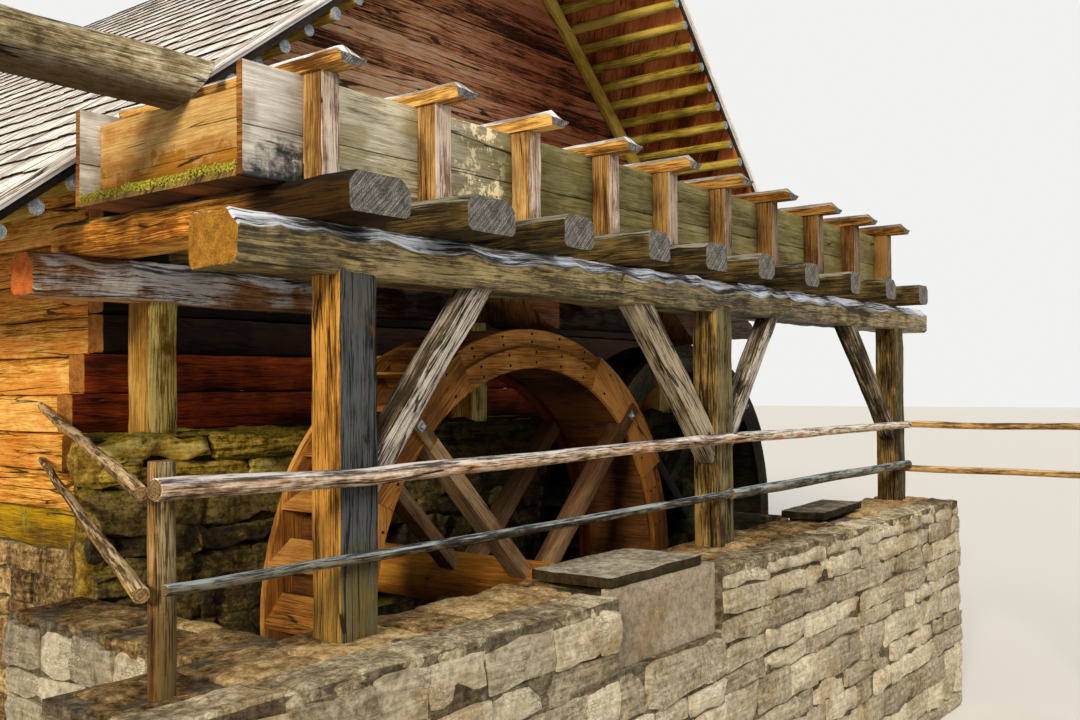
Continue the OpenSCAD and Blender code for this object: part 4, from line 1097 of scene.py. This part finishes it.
def make_rubble():
    piece = Piece("rubble_stones")
    low = BOX["rubble_wall"][0]
    right = HOUSE_X[1] - 0.29
    length = right - low.x
    bed = 0.16
    wall_face(piece, low.x, low.y, Y, length, LEDGE_TOP - 2 * bed, course=(0.18, 0.36),
              stones=(0.28, 0.85), cells=(7, 2, 5), proud=0.04, rough=0.075,
              keep=lambda a, b, z0, z1: clear_of_tunnels(low.x + a, low.x + b, z0, z1))
    first = 0.3
    for k in (2, 1):
        z = LEDGE_TOP - k * bed
        masonry(piece, Vector((low.x + 0.04, low.y, z)), Y, Z, first, bed, course=(bed, bed),
                stones=(first, first), proud=0.05, cells=(5, 2, 4), rough=0.05, finish=1)
        masonry(piece, Vector((low.x + first, low.y, z)), Y, Z, length - first, bed, course=(bed, bed),
                stones=(0.45, 1.3), proud=0.05, deep=0.5, cells=(12, 5, 4), rough=0.06, finish=1)
    inset = 0.5
    masonry(piece, Vector((low.x + inset, low.y + 0.3, LEDGE_TOP)), -Z, Y, length - inset, 0.7,
            course=(0.3, 0.4), stones=(0.4, 0.9), proud=0.006, uneven=0.2, finish=1)
    corner = Vector((low.x, low.y, 0))
    run = Vector((HOUSE_X[0] - 0.13 - low.x, HOUSE_Y[0] - low.y, 0))
    masonry(piece, corner + run, -Z.cross(run.normalized()), Z, run.length, LEDGE_TOP, course=(0.2, 0.4),
            stones=(0.3, 0.6), cells=(6, 2, 6), proud=0.05, rough=0.05, finish=2)
    run = Vector((HOUSE_X[1] - right, HOUSE_Y[0] - low.y, 0))
    wall_face(piece, right, low.y, Z.cross(run.normalized()), run.length, LEDGE_TOP)
    piece.make([RUBBLE_STONE, LEDGE_STONE, BANK_STONE], "mill", "stone", edge=60)


def make_foundation():
    piece = Piece("foundation_stones")
    front = BOX["left_foundation"][0].y
    run, wide = HOUSE_Y[1] - front, HOUSE_X[1] - HOUSE_X[0]
    wall_face(piece, HOUSE_X[0], HOUSE_Y[1], X, run, SILL_TOP)
    wall_face(piece, HOUSE_X[1], front, -X, run, SILL_TOP)
    wall_face(piece, HOUSE_X[1], HOUSE_Y[1], -Y, wide, SILL_TOP)
    piece.make([EARTH_STONE], "mill", "stone", edge=60)


def make_cover_slabs():
    piece = Piece("cover_slab_stones")
    low, high = BOX["cover_slabs"]
    thick = high.z - low.z
    for x, y, wide, deep, turn in ((WHEEL_X[0] - 0.59, -0.43, 1.15, 0.63, 0.0),
                                   (WHEEL_X[1] - 0.42, -0.155, 1.15, 0.42, 4.5)):
        corner = Matrix.Translation((x, y, low.z + thick / 2)) @ Matrix.Rotation(radians(turn), 4, "Z")
        place = corner @ Matrix.Translation((wide / 2, deep / 2, 0))
        stone(piece, place, (wide, deep, thick), (24, 14, 3), rough=0.007, rounding=0.006)
    piece.make([SLAB_STONE], "mill", "stone", ["cover_slabs"], edge=50)


# House
ROOF_T = 0.09
POLE_R = 0.065
POLE_FLAT = 0.7 * POLE_R
UNDER = ROOF_T + POLE_FLAT + POLE_R
PITCH = {-1: radians(38), 1: radians(42)}


def slope_line(side, x):
    """Height of the underside of the roof poles over a point of the gable."""
    reach = RIDGE.x - x if side < 0 else x - RIDGE.x
    pitch = PITCH[side]
    return RIDGE.z - reach * tan(pitch) - UNDER / cos(pitch)


def roof_limits(z, margin):
    """Where the underside of the roof stands over the gable at a height."""
    left = RIDGE.x - (RIDGE.z - UNDER / cos(PITCH[-1]) - z) / tan(PITCH[-1])
    right = RIDGE.x + (RIDGE.z - UNDER / cos(PITCH[1]) - z) / tan(PITCH[1])
    return max(HOUSE_X[0], left + margin), min(HOUSE_X[1], right - margin)


FRONT_LOGS = 7


def wall_log(piece, start, end, across, height=LOG_H, step=0.12, finish=(0, 1)):
    """One log of a wall, with a narrow gap to the next."""
    gap = 0.008
    timber(piece, start, end, across, LOG_T, height - gap, bevel=min(0.03, height / 4), rough=0.012,
           step=step, finish=finish)


def make_front_logs():
    piece = Piece("front_wall_logs")
    y = HOUSE_Y[0] + LOG_T / 2
    steps = (0.24, 0.15)
    for k in range(FRONT_LOGS):
        z = LEDGE_TOP + (k + 0.5) * LOG_H
        left, right = roof_limits(z + LOG_H / 2, 0.02)
        red = k < len(steps)
        if red:
            left = HOUSE_X[0] - steps[k]
        # The logs above the two red ones take the shaded log wood, painted shade.
        wall_log(piece, Vector((left, y, z)), Vector((right, y, z)), Y, finish=(2 if red else 0, 1))
    piece.make([SHADED_LOG_WOOD, LOG_END, RED_LOG_WOOD], "mill", "log_wood", ["front_log_wall"])


def make_back_logs():
    piece = Piece("back_wall_logs")
    y = HOUSE_Y[1] - LOG_T / 2
    for k in range(floor((slope_line(-1, HOUSE_X[0]) - SILL_TOP) / LOG_H)):
        z = SILL_TOP + (k + 0.5) * LOG_H
        left, right = roof_limits(z + LOG_H / 2, 0.02)
        wall_log(piece, Vector((left, y, z)), Vector((right, y, z)), Y, step=0.2)
    piece.make([LOG_WOOD, LOG_END], "mill", "log_wood", ["back_log_wall"])


def make_side_logs(node, x, side):
    piece = Piece(node + "_logs")
    low, high = BOX[node]
    roof = slope_line(side, x + side * LOG_T / 2)
    short = 0.38
    level = SILL_TOP
    number = 0
    while level < roof - 0.03:
        rise = min(LOG_H, roof - level)
        z = level + rise / 2
        start = Vector((x, low.y + (short if side < 0 and number == 2 else 0), z))
        wall_log(piece, start, Vector((x, high.y, z)), X, rise, finish=(0 if number else 2, 1))
        level += rise
        number += 1
    piece.make([LOG_WOOD, LOG_END, SILL_WOOD], "mill", "log_wood", [node])


def make_gables():
    piece = Piece("gable_boards")
    peak = BOX["gables"][1].z - 0.12
    shortest = 0.3
    for y, level in ((HOUSE_Y[0], LEDGE_TOP + FRONT_LOGS * LOG_H),
                     (HOUSE_Y[1] - 0.08, BOX["back_log_wall"][1].z)):
        while level < peak:
            rise = vary(0.11, 0.19)
            left, right = roof_limits(level + rise, 0.03)
            if right - left < shortest:
                break
            face = y + vary(0, 0.014)
            board(piece, (left, face - 0.006, level + 0.002), (right, face + 0.06, level + rise - 0.004),
                  "x", rough=0.008, bevel=0.008, step=0.12)
            level += rise
    piece.make([GABLE_WOOD], "mill", "log_wood", ["gables"])


def make_rafters():
    piece = Piece("gable_rafter_boards")
    thick, height = 0.07, 0.17
    for y in (HOUSE_Y[0] - thick / 2, HOUSE_Y[1] + thick / 2):
        for side in (-1, 1):
            pitch = PITCH[side]
            way = Vector((side * cos(pitch), 0, -sin(pitch)))
            out = Vector((side * sin(pitch), 0, cos(pitch)))
            peak = Vector((RIDGE.x, y, RIDGE.z)) - out * (UNDER + height / 2 + 0.004) + way * 0.12
            end = HOUSE_X[0] - 0.4 if side < 0 else HOUSE_X[1] + 0.4
            foot = peak + way * (abs(end - peak.x) / cos(pitch))
            timber(piece, foot, peak, Y, thick, height, bevel=0.008)
    piece.make([RAFTER_WOOD, LOG_END], "mill", "log_wood", ["gable_rafters"])


def slope_frame(side):
    """A point of the slope's eave, the directions up the slope and out of the roof, and its length."""
    pitch = PITCH[side]
    low, high = BOX["roof_left" if side < 0 else "roof_right"]
    up = Vector((-side * cos(pitch), 0, sin(pitch)))
    out = Vector((side * sin(pitch), 0, cos(pitch)))
    run = RIDGE.x - low.x if side < 0 else high.x - RIDGE.x
    length = run / cos(pitch)
    eave = RIDGE - up * length
    return eave, up, out, length


VERGE_LEAN = 0.05
VERGE_OVER = 1.22


def verge(s):
    """Where the two sloping edges of the roof stand, at a distance up the slope."""
    return HOUSE_Y[0] - VERGE_OVER - s * VERGE_LEAN, HOUSE_Y[1] + VERGE_OVER + s * VERGE_LEAN


SHINGLE_FACES = ((0, 2, 3, 1), (4, 5, 7, 6), (0, 1, 5, 4), (2, 6, 7, 3), (1, 3, 7, 5), (0, 4, 6, 2))


def add_shingle(piece, slope, side, low, top, near, far, wide):
    """One split shingle, which tapers to its head and leans a little."""
    eave, up, out = slope
    thick = 0.012
    butt = eave + up * low + out * (2.0 * thick + vary(0.0, 0.006))
    head = eave + up * top + out * 0.003
    corners = []
    for base, t in ((butt, thick), (head, thick * 0.4)):
        for across in (near, far):
            corner = base + Y * across + up * vary(-0.006, 0.006)
            corners += [corner, corner + out * t]
    faces = SHINGLE_FACES if side < 0 else [face[::-1] for face in SHINGLE_FACES]
    shift = vary(0, 40)
    places = [(reach + shift, v) for reach in (low, top) for v in (0, 0.01, wide, wide + 0.01)]
    # Every face but the top takes the shaded butt wood: painted shade on the butts.
    finish = [0 if set(face) == {1, 3, 5, 7} else 1 for face in faces]
    grain = [[places[corner] for corner in face] for face in faces]
    piece.add(corners, faces, grain, finish, DRAW.random())


def make_roof(side, node):
    eave, up, out, length = slope_frame(side)
    piece = Piece(node + "_shingles")
    expose, long_side = 0.3, 0.62
    for row in range(int(length / expose) + 1):
        s = row * expose
        y0, y1 = verge(s)
        y = y0 - 0.02
        while y < y1:
            wide = vary(0.08, 0.18)
            low = s - 0.03 + vary(-0.016, 0.016)
            top = min(low + long_side, length - 0.004)
            if top - low > 0.08:
                far = min(y + wide - 0.001, y1 + 0.02)
                add_shingle(piece, (eave, up, out), side, low, top, y + 0.001, far, wide)
            y += wide
    piece.make([SHINGLE_WOOD, SHADED_BUTT_WOOD], "mill", "shingle_wood", edge=30)
    dress(node, SOFFIT_WOOD)


def make_verges():
    """Doubled boards along the sloping edges of the roof."""
    piece = Piece("verge_boards")
    # For each layer its distance above the slope, how far it stands out, its height and its finish; finish
    # 2, the shaded butt wood, paints a shadow band under the shingles
    layers = ((-0.066, 0.006, 0.05, 2), (-0.028, 0.014, 0.024, 0), (-0.002, 0.03, 0.024, 0),
              (0.024, 0.02, 0.024, 0))
    wide = 0.02
    for side in (-1, 1):
        eave, up, out, length = slope_frame(side)
        for end, sign in ((0, -1), (1, 1)):
            for above, stand, tall, finish in layers:
                low = eave + Y * (verge(0)[end] + sign * stand) + out * above
                high = eave + up * (length - 0.02) + Y * (verge(length)[end] + sign * stand) + out * above
                timber(piece, low, high, out, tall, wide, bevel=0.003, rough=0.003, step=0.3,
                       finish=(finish, 1))
    piece.make([SHINGLE_WOOD, LOG_END, SHADED_BUTT_WOOD], "mill", "shingle_wood")


def pole_section(r):
    """A circle whose upper side is cut flat."""
    return [(min(x, POLE_FLAT), y) for x, y in circle(r, 12)]


def flat_pole(piece, start, end, out):
    """A straight pole whose flat side faces out."""
    side, up, _ = axes(start, end, out)
    seed = random_seed()
    rings = []
    count = 20
    for k in range(count + 1):
        spot = start + (end - start) * k / count
        r = POLE_R * (0.94 - 0.16 / (1 + k) + 0.08 * ripple(seed, k * 0.35, 0, 0))
        ring = []
        for x, y in pole_section(r):
            swell = 1 + 0.06 * ripple(seed, k * 0.7, x * 20, y * 20)
            ring.append(spot + side * x * (swell if x < POLE_FLAT * 0.9 else 1) + up * y * swell)
        rings.append(ring)
    flat = pole_section(POLE_R)
    skin(piece, rings, (flat, flat), DRAW.random())


def make_roof_poles():
    piece = Piece("roof_pole_stems")
    spacing = 0.28
    for side in (-1, 1):
        eave, up, out, length = slope_frame(side)
        s = 0.12
        while s <= length - POLE_R - ROOF_T * 2:
            y0, y1 = verge(s)
            centre = eave + up * s - out * (ROOF_T + POLE_FLAT)
            flat_pole(piece, centre + Y * (y0 + vary(-0.03, 0.015)), centre + Y * (y1 - 0.025), out)
            s += spacing
    piece.make([POLE_WOOD, POLE_END], "mill", "log_wood", ["roof_poles"])


# Railing
CORNER = Vector((-1.085, -0.08, CURB_TOP))
RAIL_POST_R = 0.06
JOINT_X = POST_X[1] + POST_W / 2
LAST_X = POST_X[2] + POST_W


def make_railing_posts():
    piece = Piece("railing_post_stems")
    low, high = BOX["railing_posts"]
    far = Vector((high.x - RAIL_POST_R, low.y + RAIL_POST_R, 0))
    for foot, count, sway in ((CORNER - Z * 0.02, 12, 0.01), (far, 24, 0.02)):
        pole(piece, wander(foot, Vector((foot.x, foot.y, high.z)), count, sway), RAIL_POST_R)
    piece.make([POST_POLE_WOOD, RAIL_END], "mill", "weathered_wood", ["railing_posts"])


def rail_route(r, heights, past):
    """The route of a front rail past the corner post, along the first post and to the joint."""
    at_post = CORNER.y - RAIL_POST_R - r - 0.001
    at_bend = -r - 0.004
    start_y = at_post - (at_bend - at_post) / (POST_W / 2 - CORNER.x) * past
    places = ((CORNER.x - past, start_y), (POST_W / 2, at_bend), (JOINT_X, at_bend))
    return [Vector((x, y, CURB_TOP + height)) for (x, y), height in zip(places, heights)]


def straight_route(x0, y0, height0, x1, y1, height1):
    return [Vector((x0, y0, CURB_TOP + height0)), Vector((x1, y1, CURB_TOP + height1))]


def rail(piece, points, r0, r1, rough=0.06, finish=(0, 1)):
    """A slightly bent pole through the points, from one radius to another."""
    path = []
    for a, b in zip(points, points[1:]):
        path += wander(a, b, max(4, round((b - a).length / 0.14)), 0.012)[:-1]
    path.append(points[-1])
    pole(piece, path, lambda t: r0 + (r1 - r0) * t, rough, lumps=0.12, finish=finish)


def make_front_rails():
    piece = Piece("front_rail_poles")
    low_finish = (2, 1)
    rail(piece, rail_route(0.045, (0.91, 0.86, 0.89), 0.11), 0.048, 0.042)
    rail(piece, straight_route(JOINT_X - 0.03, -0.05, 0.885, LAST_X, -0.045, 0.85), 0.044, 0.038)
    rail(piece, rail_route(0.03, (0.48, 0.44, 0.43), 0.05), 0.026, 0.032, rough=0.07, finish=low_finish)
    rail(piece, straight_route(JOINT_X - 0.02, -0.05, 0.43, LAST_X - 0.05, -0.047, 0.41), 0.045, 0.045,
         finish=low_finish)
    piece.make([RAIL_WOOD, RAIL_END, LOW_RAIL_WOOD], "mill", "weathered_wood", ["front_rails"])


def make_side_rails():
    piece = Piece("side_rail_poles")
    near = Vector((CORNER.x - RAIL_POST_R - 0.076, CORNER.y - 0.06, CURB_TOP))
    far = Vector((HOUSE_X[0] - 0.02, HOUSE_Y[0] + 0.88, CURB_TOP + 0.30))
    for height, r0, r1 in ((0.895, 0.034, 0.03), (0.47, 0.036, 0.024)):
        pole(piece, wander(near + Z * height, far + Z * height, 30, 0.02), lambda t: r0 + (r1 - r0) * t,
             rough=0.06, lumps=0.12)
    for height in (0.855, 0.36):
        start = Vector((LAST_X + 0.038, BOX["side_rails"][0].y, CURB_TOP + height))
        pole(piece, wander(start, Vector((start.x, 0.2, start.z)), 18, 0.02), 0.036, rough=0.06,
             lumps=0.1)
    piece.make([BARK_RAIL_WOOD, RAIL_END], "mill", "weathered_wood", ["side_rails"])


# Water wheels
def disc(piece, centre, axis, radius, height, sides):
    """A short peg, washer or bolt head."""
    side, up, along = axes(centre, centre + axis, hint(axis))
    rings = []
    for z, scale in ((0, 1.0), (height * 0.75, 1.0), (height, 0.85)):
        rings.append([centre + along * z + side * x + up * y for x, y in circle(radius * scale, sides)])
    flat = circle(radius, sides)
    skin(piece, rings, (flat, flat), DRAW.random(), (0, 0))


class Wheel:
    """One water wheel: its planes from front to back, its finishes and its pieces."""

    def __init__(self, number, ring_wood, far_wood, arm_wood, shaft_wood, inside_wood):
        self.number = number
        self.name = "wheel_%d" % (number + 1)
        self.ring_wood = ring_wood
        self.far_wood = far_wood
        self.arm_wood = arm_wood
        self.shaft_wood = shaft_wood
        self.inside_wood = inside_wood
        self.arm_y = WHEEL_Y[number]
        self.felloe_y = self.arm_y + ARM_PROUD
        self.plank_y = self.felloe_y + FELLOE_T
        self.bucket_y = self.plank_y + SHROUD_T
        self.far_y = self.bucket_y + BUCKET_W[number]

    def at(self, r, turn, y):
        """The point at a radius and a turn about the shaft, at a depth."""
        return Vector((WHEEL_X[self.number] + r * cos(turn), y, WHEEL_Z + r * sin(turn)))

    def arc_plank(self, piece, r0, r1, a0, a1, y0, y1, finish):
        """A plank sawn to a part of the ring, with straight grain."""
        edge = 0.004
        count = max(3, round(abs(a1 - a0) / radians(5)))
        shape = ((r0 + edge, y0), (r0, y0 + edge), (r0, y1 - edge), (r0 + edge, y1),
                 (r1 - edge, y1), (r1, y1 - edge), (r1, y0 + edge), (r1 - edge, y0))
        size = len(shape)
        shift = vary(0, 40)
        points, places, faces = [], [], []
        for k in range(count + 1):
            turn = a0 + (a1 - a0) * k / count
            away = turn - (a0 + a1) / 2
            for r, y in shape:
                points.append(self.at(r, turn, y))
                places.append((shift + r * sin(away), shift + r * cos(away) + y))
        for k in range(count):
            near, far = k * size, (k + 1) * size
            for c in range(size):
                c2 = (c + 1) % size
                faces.append((near + c2, far + c2, far + c, near + c))
        faces.append(tuple(range(size - 1, -1, -1)))
        faces.append(tuple(range(len(points) - size, len(points))))
        grain = [[places[corner] for corner in face] for face in faces]
        piece.add(points, faces, grain, [finish] * len(faces), DRAW.random())

    def make_rings(self):
        """On each side a ring of planks, a layer of felloes lapped over it, and their pegs."""
        rings = Piece(self.name + "_ring_planks")
        pegs = Piece(self.name + "_ring_pegs")
        half = radians(19)
        seam = radians(0.06)
        for plank_y, felloe_y, sign, finish in ((self.plank_y, self.felloe_y, -1, 0),
                                                (self.far_y, self.far_y + SHROUD_T, 1, 1)):
            for k in range(4):
                middle = QUARTER * (k + 0.5)
                last, following = middle + half, QUARTER * (k + 1.5) - half
                for start, end, outer in ((middle - half, last, WHEEL_R), (last, following, FELLOE_OUT)):
                    a, b = start + seam, end - seam
                    self.arc_plank(rings, SHROUD_IN, WHEEL_R, a, b, plank_y, plank_y + SHROUD_T, finish)
                    self.arc_plank(rings, FELLOE_IN, outer, a, b, felloe_y, felloe_y + FELLOE_T, finish)
                plank_face = plank_y if sign < 0 else plank_y + SHROUD_T
                felloe_face = felloe_y if sign < 0 else felloe_y + FELLOE_T
                spots = [(last + (following - last) * (m + 0.5) / 5, r, y) for m in range(5)
                         for r, y in ((1.80, plank_face), (1.86, plank_face), (1.65, felloe_face),
                                      (1.725, felloe_face))]
                spots += [(middle + m * half * 0.7, r, felloe_face) for m in (-1, 1) for r in (1.66, 1.83)]
                for turn, r, y in spots:
                    disc(pegs, self.at(r, turn, y), Y * sign, radius=0.011, height=0.004, sides=8)
        rings.make([self.ring_wood, self.far_wood], self.name, "wheel_wood", [self.name + "_shrouds"])
        pegs.make([SHADED_PEG_WOOD], self.name, "wheel_wood")

    def make_arms(self):
        """Crossed arms, thinned where they lap over the rings, with a bolt and its washer on each."""
        arms = Piece(self.name + "_arm_timbers")
        bolts = Piece(self.name + "_bolts")
        step = FELLOE_IN - 0.003
        bolt_at = 1.735
        for lap, sign in ((self.arm_y, -1), (self.far_y + SHROUD_T + FELLOE_T, 1)):
            middle = lap + ARM_T / 2 if sign < 0 else lap + ARM_PROUD - ARM_T / 2
            face = lap if sign < 0 else lap + ARM_PROUD
            for k in range(4):
                turn = QUARTER * (k + 0.5)
                timber(arms, self.at(0.08, turn, middle), self.at(step, turn, middle), Y,
                       ARM_T - 0.001 * k, ARM_W, bevel=0.006, rough=0.002, step=0.12)
                thin = lap + ARM_PROUD / 2
                timber(arms, self.at(step - 0.05, turn, thin), self.at(WHEEL_R - 0.06, turn, thin), Y,
                       ARM_PROUD, ARM_W, bevel=0.004, rough=0.001, step=0.08)
                disc(bolts, self.at(bolt_at, turn, face), Y * sign, radius=0.042, height=0.006, sides=4)
                disc(bolts, self.at(bolt_at, turn, face + sign * 0.005), Y * sign, radius=0.02,
                     height=0.018, sides=6)
        arms.make([self.arm_wood, WHEEL_END], self.name, "wheel_wood", [self.name + "_arms"])
        bolts.make([STEEL], self.name, "iron")

    def make_shaft(self):
        piece = Piece(self.name + "_shaft_log")
        low, high = BOX[self.name + "_shaft"]
        start = self.at(0, 0, low.y)
        length = high.y - low.y
        r = SHAFT_R[self.number]
        shoulder = HOOP_W + 0.004
        neck = [(0.0, NECK_R), (HOOP_W, NECK_R), (shoulder, r)]
        body = [(shoulder + (length - 2 * shoulder) * k / 12, r) for k in range(1, 12)]
        stations = neck + body + [(length - s, size) for s, size in neck[::-1]]
        rings = [[start + Y * s + Z * a + X * b for a, b in circle(size, 24)] for s, size in stations]
        flat = circle(NECK_R, 24)
        skin(piece, rings, (flat, flat), 0.5)
        piece.make([self.shaft_wood, WHEEL_END], self.name, "wheel_wood", [self.name + "_shaft"])
        dress(self.name + "_irons", IRON)

    def make_buckets(self):
        """For each bucket a board of the sole, a riser and a leaning lip."""
        piece = Piece(self.name + "_bucket_boards")
        step = 2 * pi / BUCKETS
        sole, thick, riser = 0.025, 0.022, 0.075
        lean = radians(54)
        chord = SHROUD_IN * tan(step / 2) - 0.001
        r0, r1, r2 = SHROUD_IN + sole, SHROUD_IN + sole + riser, WHEEL_R - 0.008
        run = (r2 - r1) * tan(lean)
        across = thick / cos(lean)
        shapes = (((SHROUD_IN, -chord), (r0, -chord), (r0, chord), (SHROUD_IN, chord)),
                  ((r0, 0.0), (r1, 0.0), (r1, thick), (r0, thick)),
                  ((r1, 0.0), (r2, run), (r2, run + across), (r1 - 0.004, thick)))
        for k in range(BUCKETS):
            turn = step * (k + 0.5)
            out = Vector((cos(turn), 0, sin(turn)))
            around = Vector((-sin(turn), 0, cos(turn)))
            # The sole boards take the inside wood, for the first wheel a copy darkened as painted shade.
            for shape, finish in zip(shapes, (1, 0, 0)):
                rings = [[self.at(0, 0, y) + out * a + around * b for a, b in shape]
                         for y in (self.far_y, self.bucket_y)]
                skin(piece, rings, (shape, shape), DRAW.random(), (finish, finish))
        piece.make([self.ring_wood, self.inside_wood], self.name, "wheel_wood", [self.name + "_buckets"])

    def make(self):
        self.make_rings()
        self.make_arms()
        self.make_shaft()
        self.make_buckets()


def make_stage():
    """A wide floor in the studio's grey."""
    mesh = bpy.data.meshes.new("floor")
    size = 150.0
    corners = [(-size, -size, 0), (size, -size, 0), (size, size, 0), (-size, size, 0)]
    mesh.from_pydata(corners, [], [(0, 1, 2, 3)])
    g = Graph("floor")
    mesh.materials.append(g.finish(colour("#dcdad5"), 0.9, g.noise(g.place(), 2.0), 0.001))
    ground = bpy.data.objects.new("floor", mesh)
    bpy.context.collection.objects.link(ground)


def make_world():
    """A soft grey light all round, which the camera sees brighter than it shines."""
    world = bpy.data.worlds.new("studio")
    bpy.context.scene.world = world
    world.use_nodes = True
    tree = world.node_tree
    tree.nodes.clear()

    def background(tint, strength):
        node = tree.nodes.new("ShaderNodeBackground")
        node.inputs[0].default_value = tint
        node.inputs[1].default_value = strength
        return node.outputs[0]

    path = tree.nodes.new("ShaderNodeLightPath")
    shown = path.outputs["Is Camera Ray"]
    for ray in ("Is Glossy Ray", "Is Transmission Ray"):
        either = tree.nodes.new("ShaderNodeMath")
        either.operation = "MAXIMUM"
        tree.links.new(shown, either.inputs[0])
        tree.links.new(path.outputs[ray], either.inputs[1])
        shown = either.outputs[0]
    share = tree.nodes.new("ShaderNodeMixShader")
    output = tree.nodes.new("ShaderNodeOutputWorld")
    tree.links.new(shown, share.inputs[0])
    tree.links.new(background((0.96, 0.97, 1.0, 1), 0.3), share.inputs[1])
    tree.links.new(background((0.93, 0.93, 0.92, 1), 0.95), share.inputs[2])
    tree.links.new(share.outputs[0], output.inputs[0])


def make_lamps():
    for name, strength, tint, way, spread in (("key", 3.3, (1.0, 0.88, 0.68), (0.88, 0.3, -0.34), 14),
                                              ("fill", 1.6, (1.0, 0.98, 0.95), (-0.15, 0.6, -0.85), 40)):
        lamp = bpy.data.lights.new(name, "SUN")
        lamp.energy = strength
        lamp.angle = radians(spread)
        lamp.color = tint
        holder = bpy.data.objects.new(name, lamp)
        holder.rotation_euler = Vector(way).to_track_quat("-Z", "Y").to_euler()
        bpy.context.collection.objects.link(holder)


make_outer_posts()
make_inner_posts()
make_beams()
make_braces()
make_cross_logs()
make_flume_sides()
make_flume_ends()
make_moss_lip()
make_frame_posts()
make_frame_caps()
make_feed_log()
make_feed_trestle()
make_curb()
make_rubble()
make_foundation()
make_cover_slabs()
make_front_logs()
make_back_logs()
make_side_logs("left_log_wall", HOUSE_X[0] + LOG_T / 2, -1)
make_side_logs("right_log_wall", HOUSE_X[1] - LOG_T / 2, 1)
make_gables()
make_rafters()
make_roof(-1, "roof_left")
make_roof(1, "roof_right")
make_verges()
make_roof_poles()
make_railing_posts()
make_front_rails()
make_side_rails()
Wheel(0, WHEEL_1_WOOD, WHEEL_1_FAR_WOOD, WHEEL_1_ARM_WOOD, WHEEL_1_DARK, WHEEL_1_SHADED_INSIDE).make()
Wheel(1, WHEEL_2_WOOD, WHEEL_2_WOOD, WHEEL_2_WOOD, WHEEL_2_WOOD, WHEEL_2_WOOD).make()
for node in ("curb_wall", "pit_end_wall", "left_foundation", "right_foundation", "back_foundation"):
    dress(node, CURB_MORTAR)
for node in ("rubble_wall", "slab_rests"):
    dress(node, MORTAR)
for node in ("flume_floor", "chutes", "bearing_blocks"):
    dress(node, SOAKED_WOOD)
dress("front_plate", CONCRETE)
make_stage()
make_world()
make_lamps()
bpy.context.scene.view_settings.view_transform = "Standard"
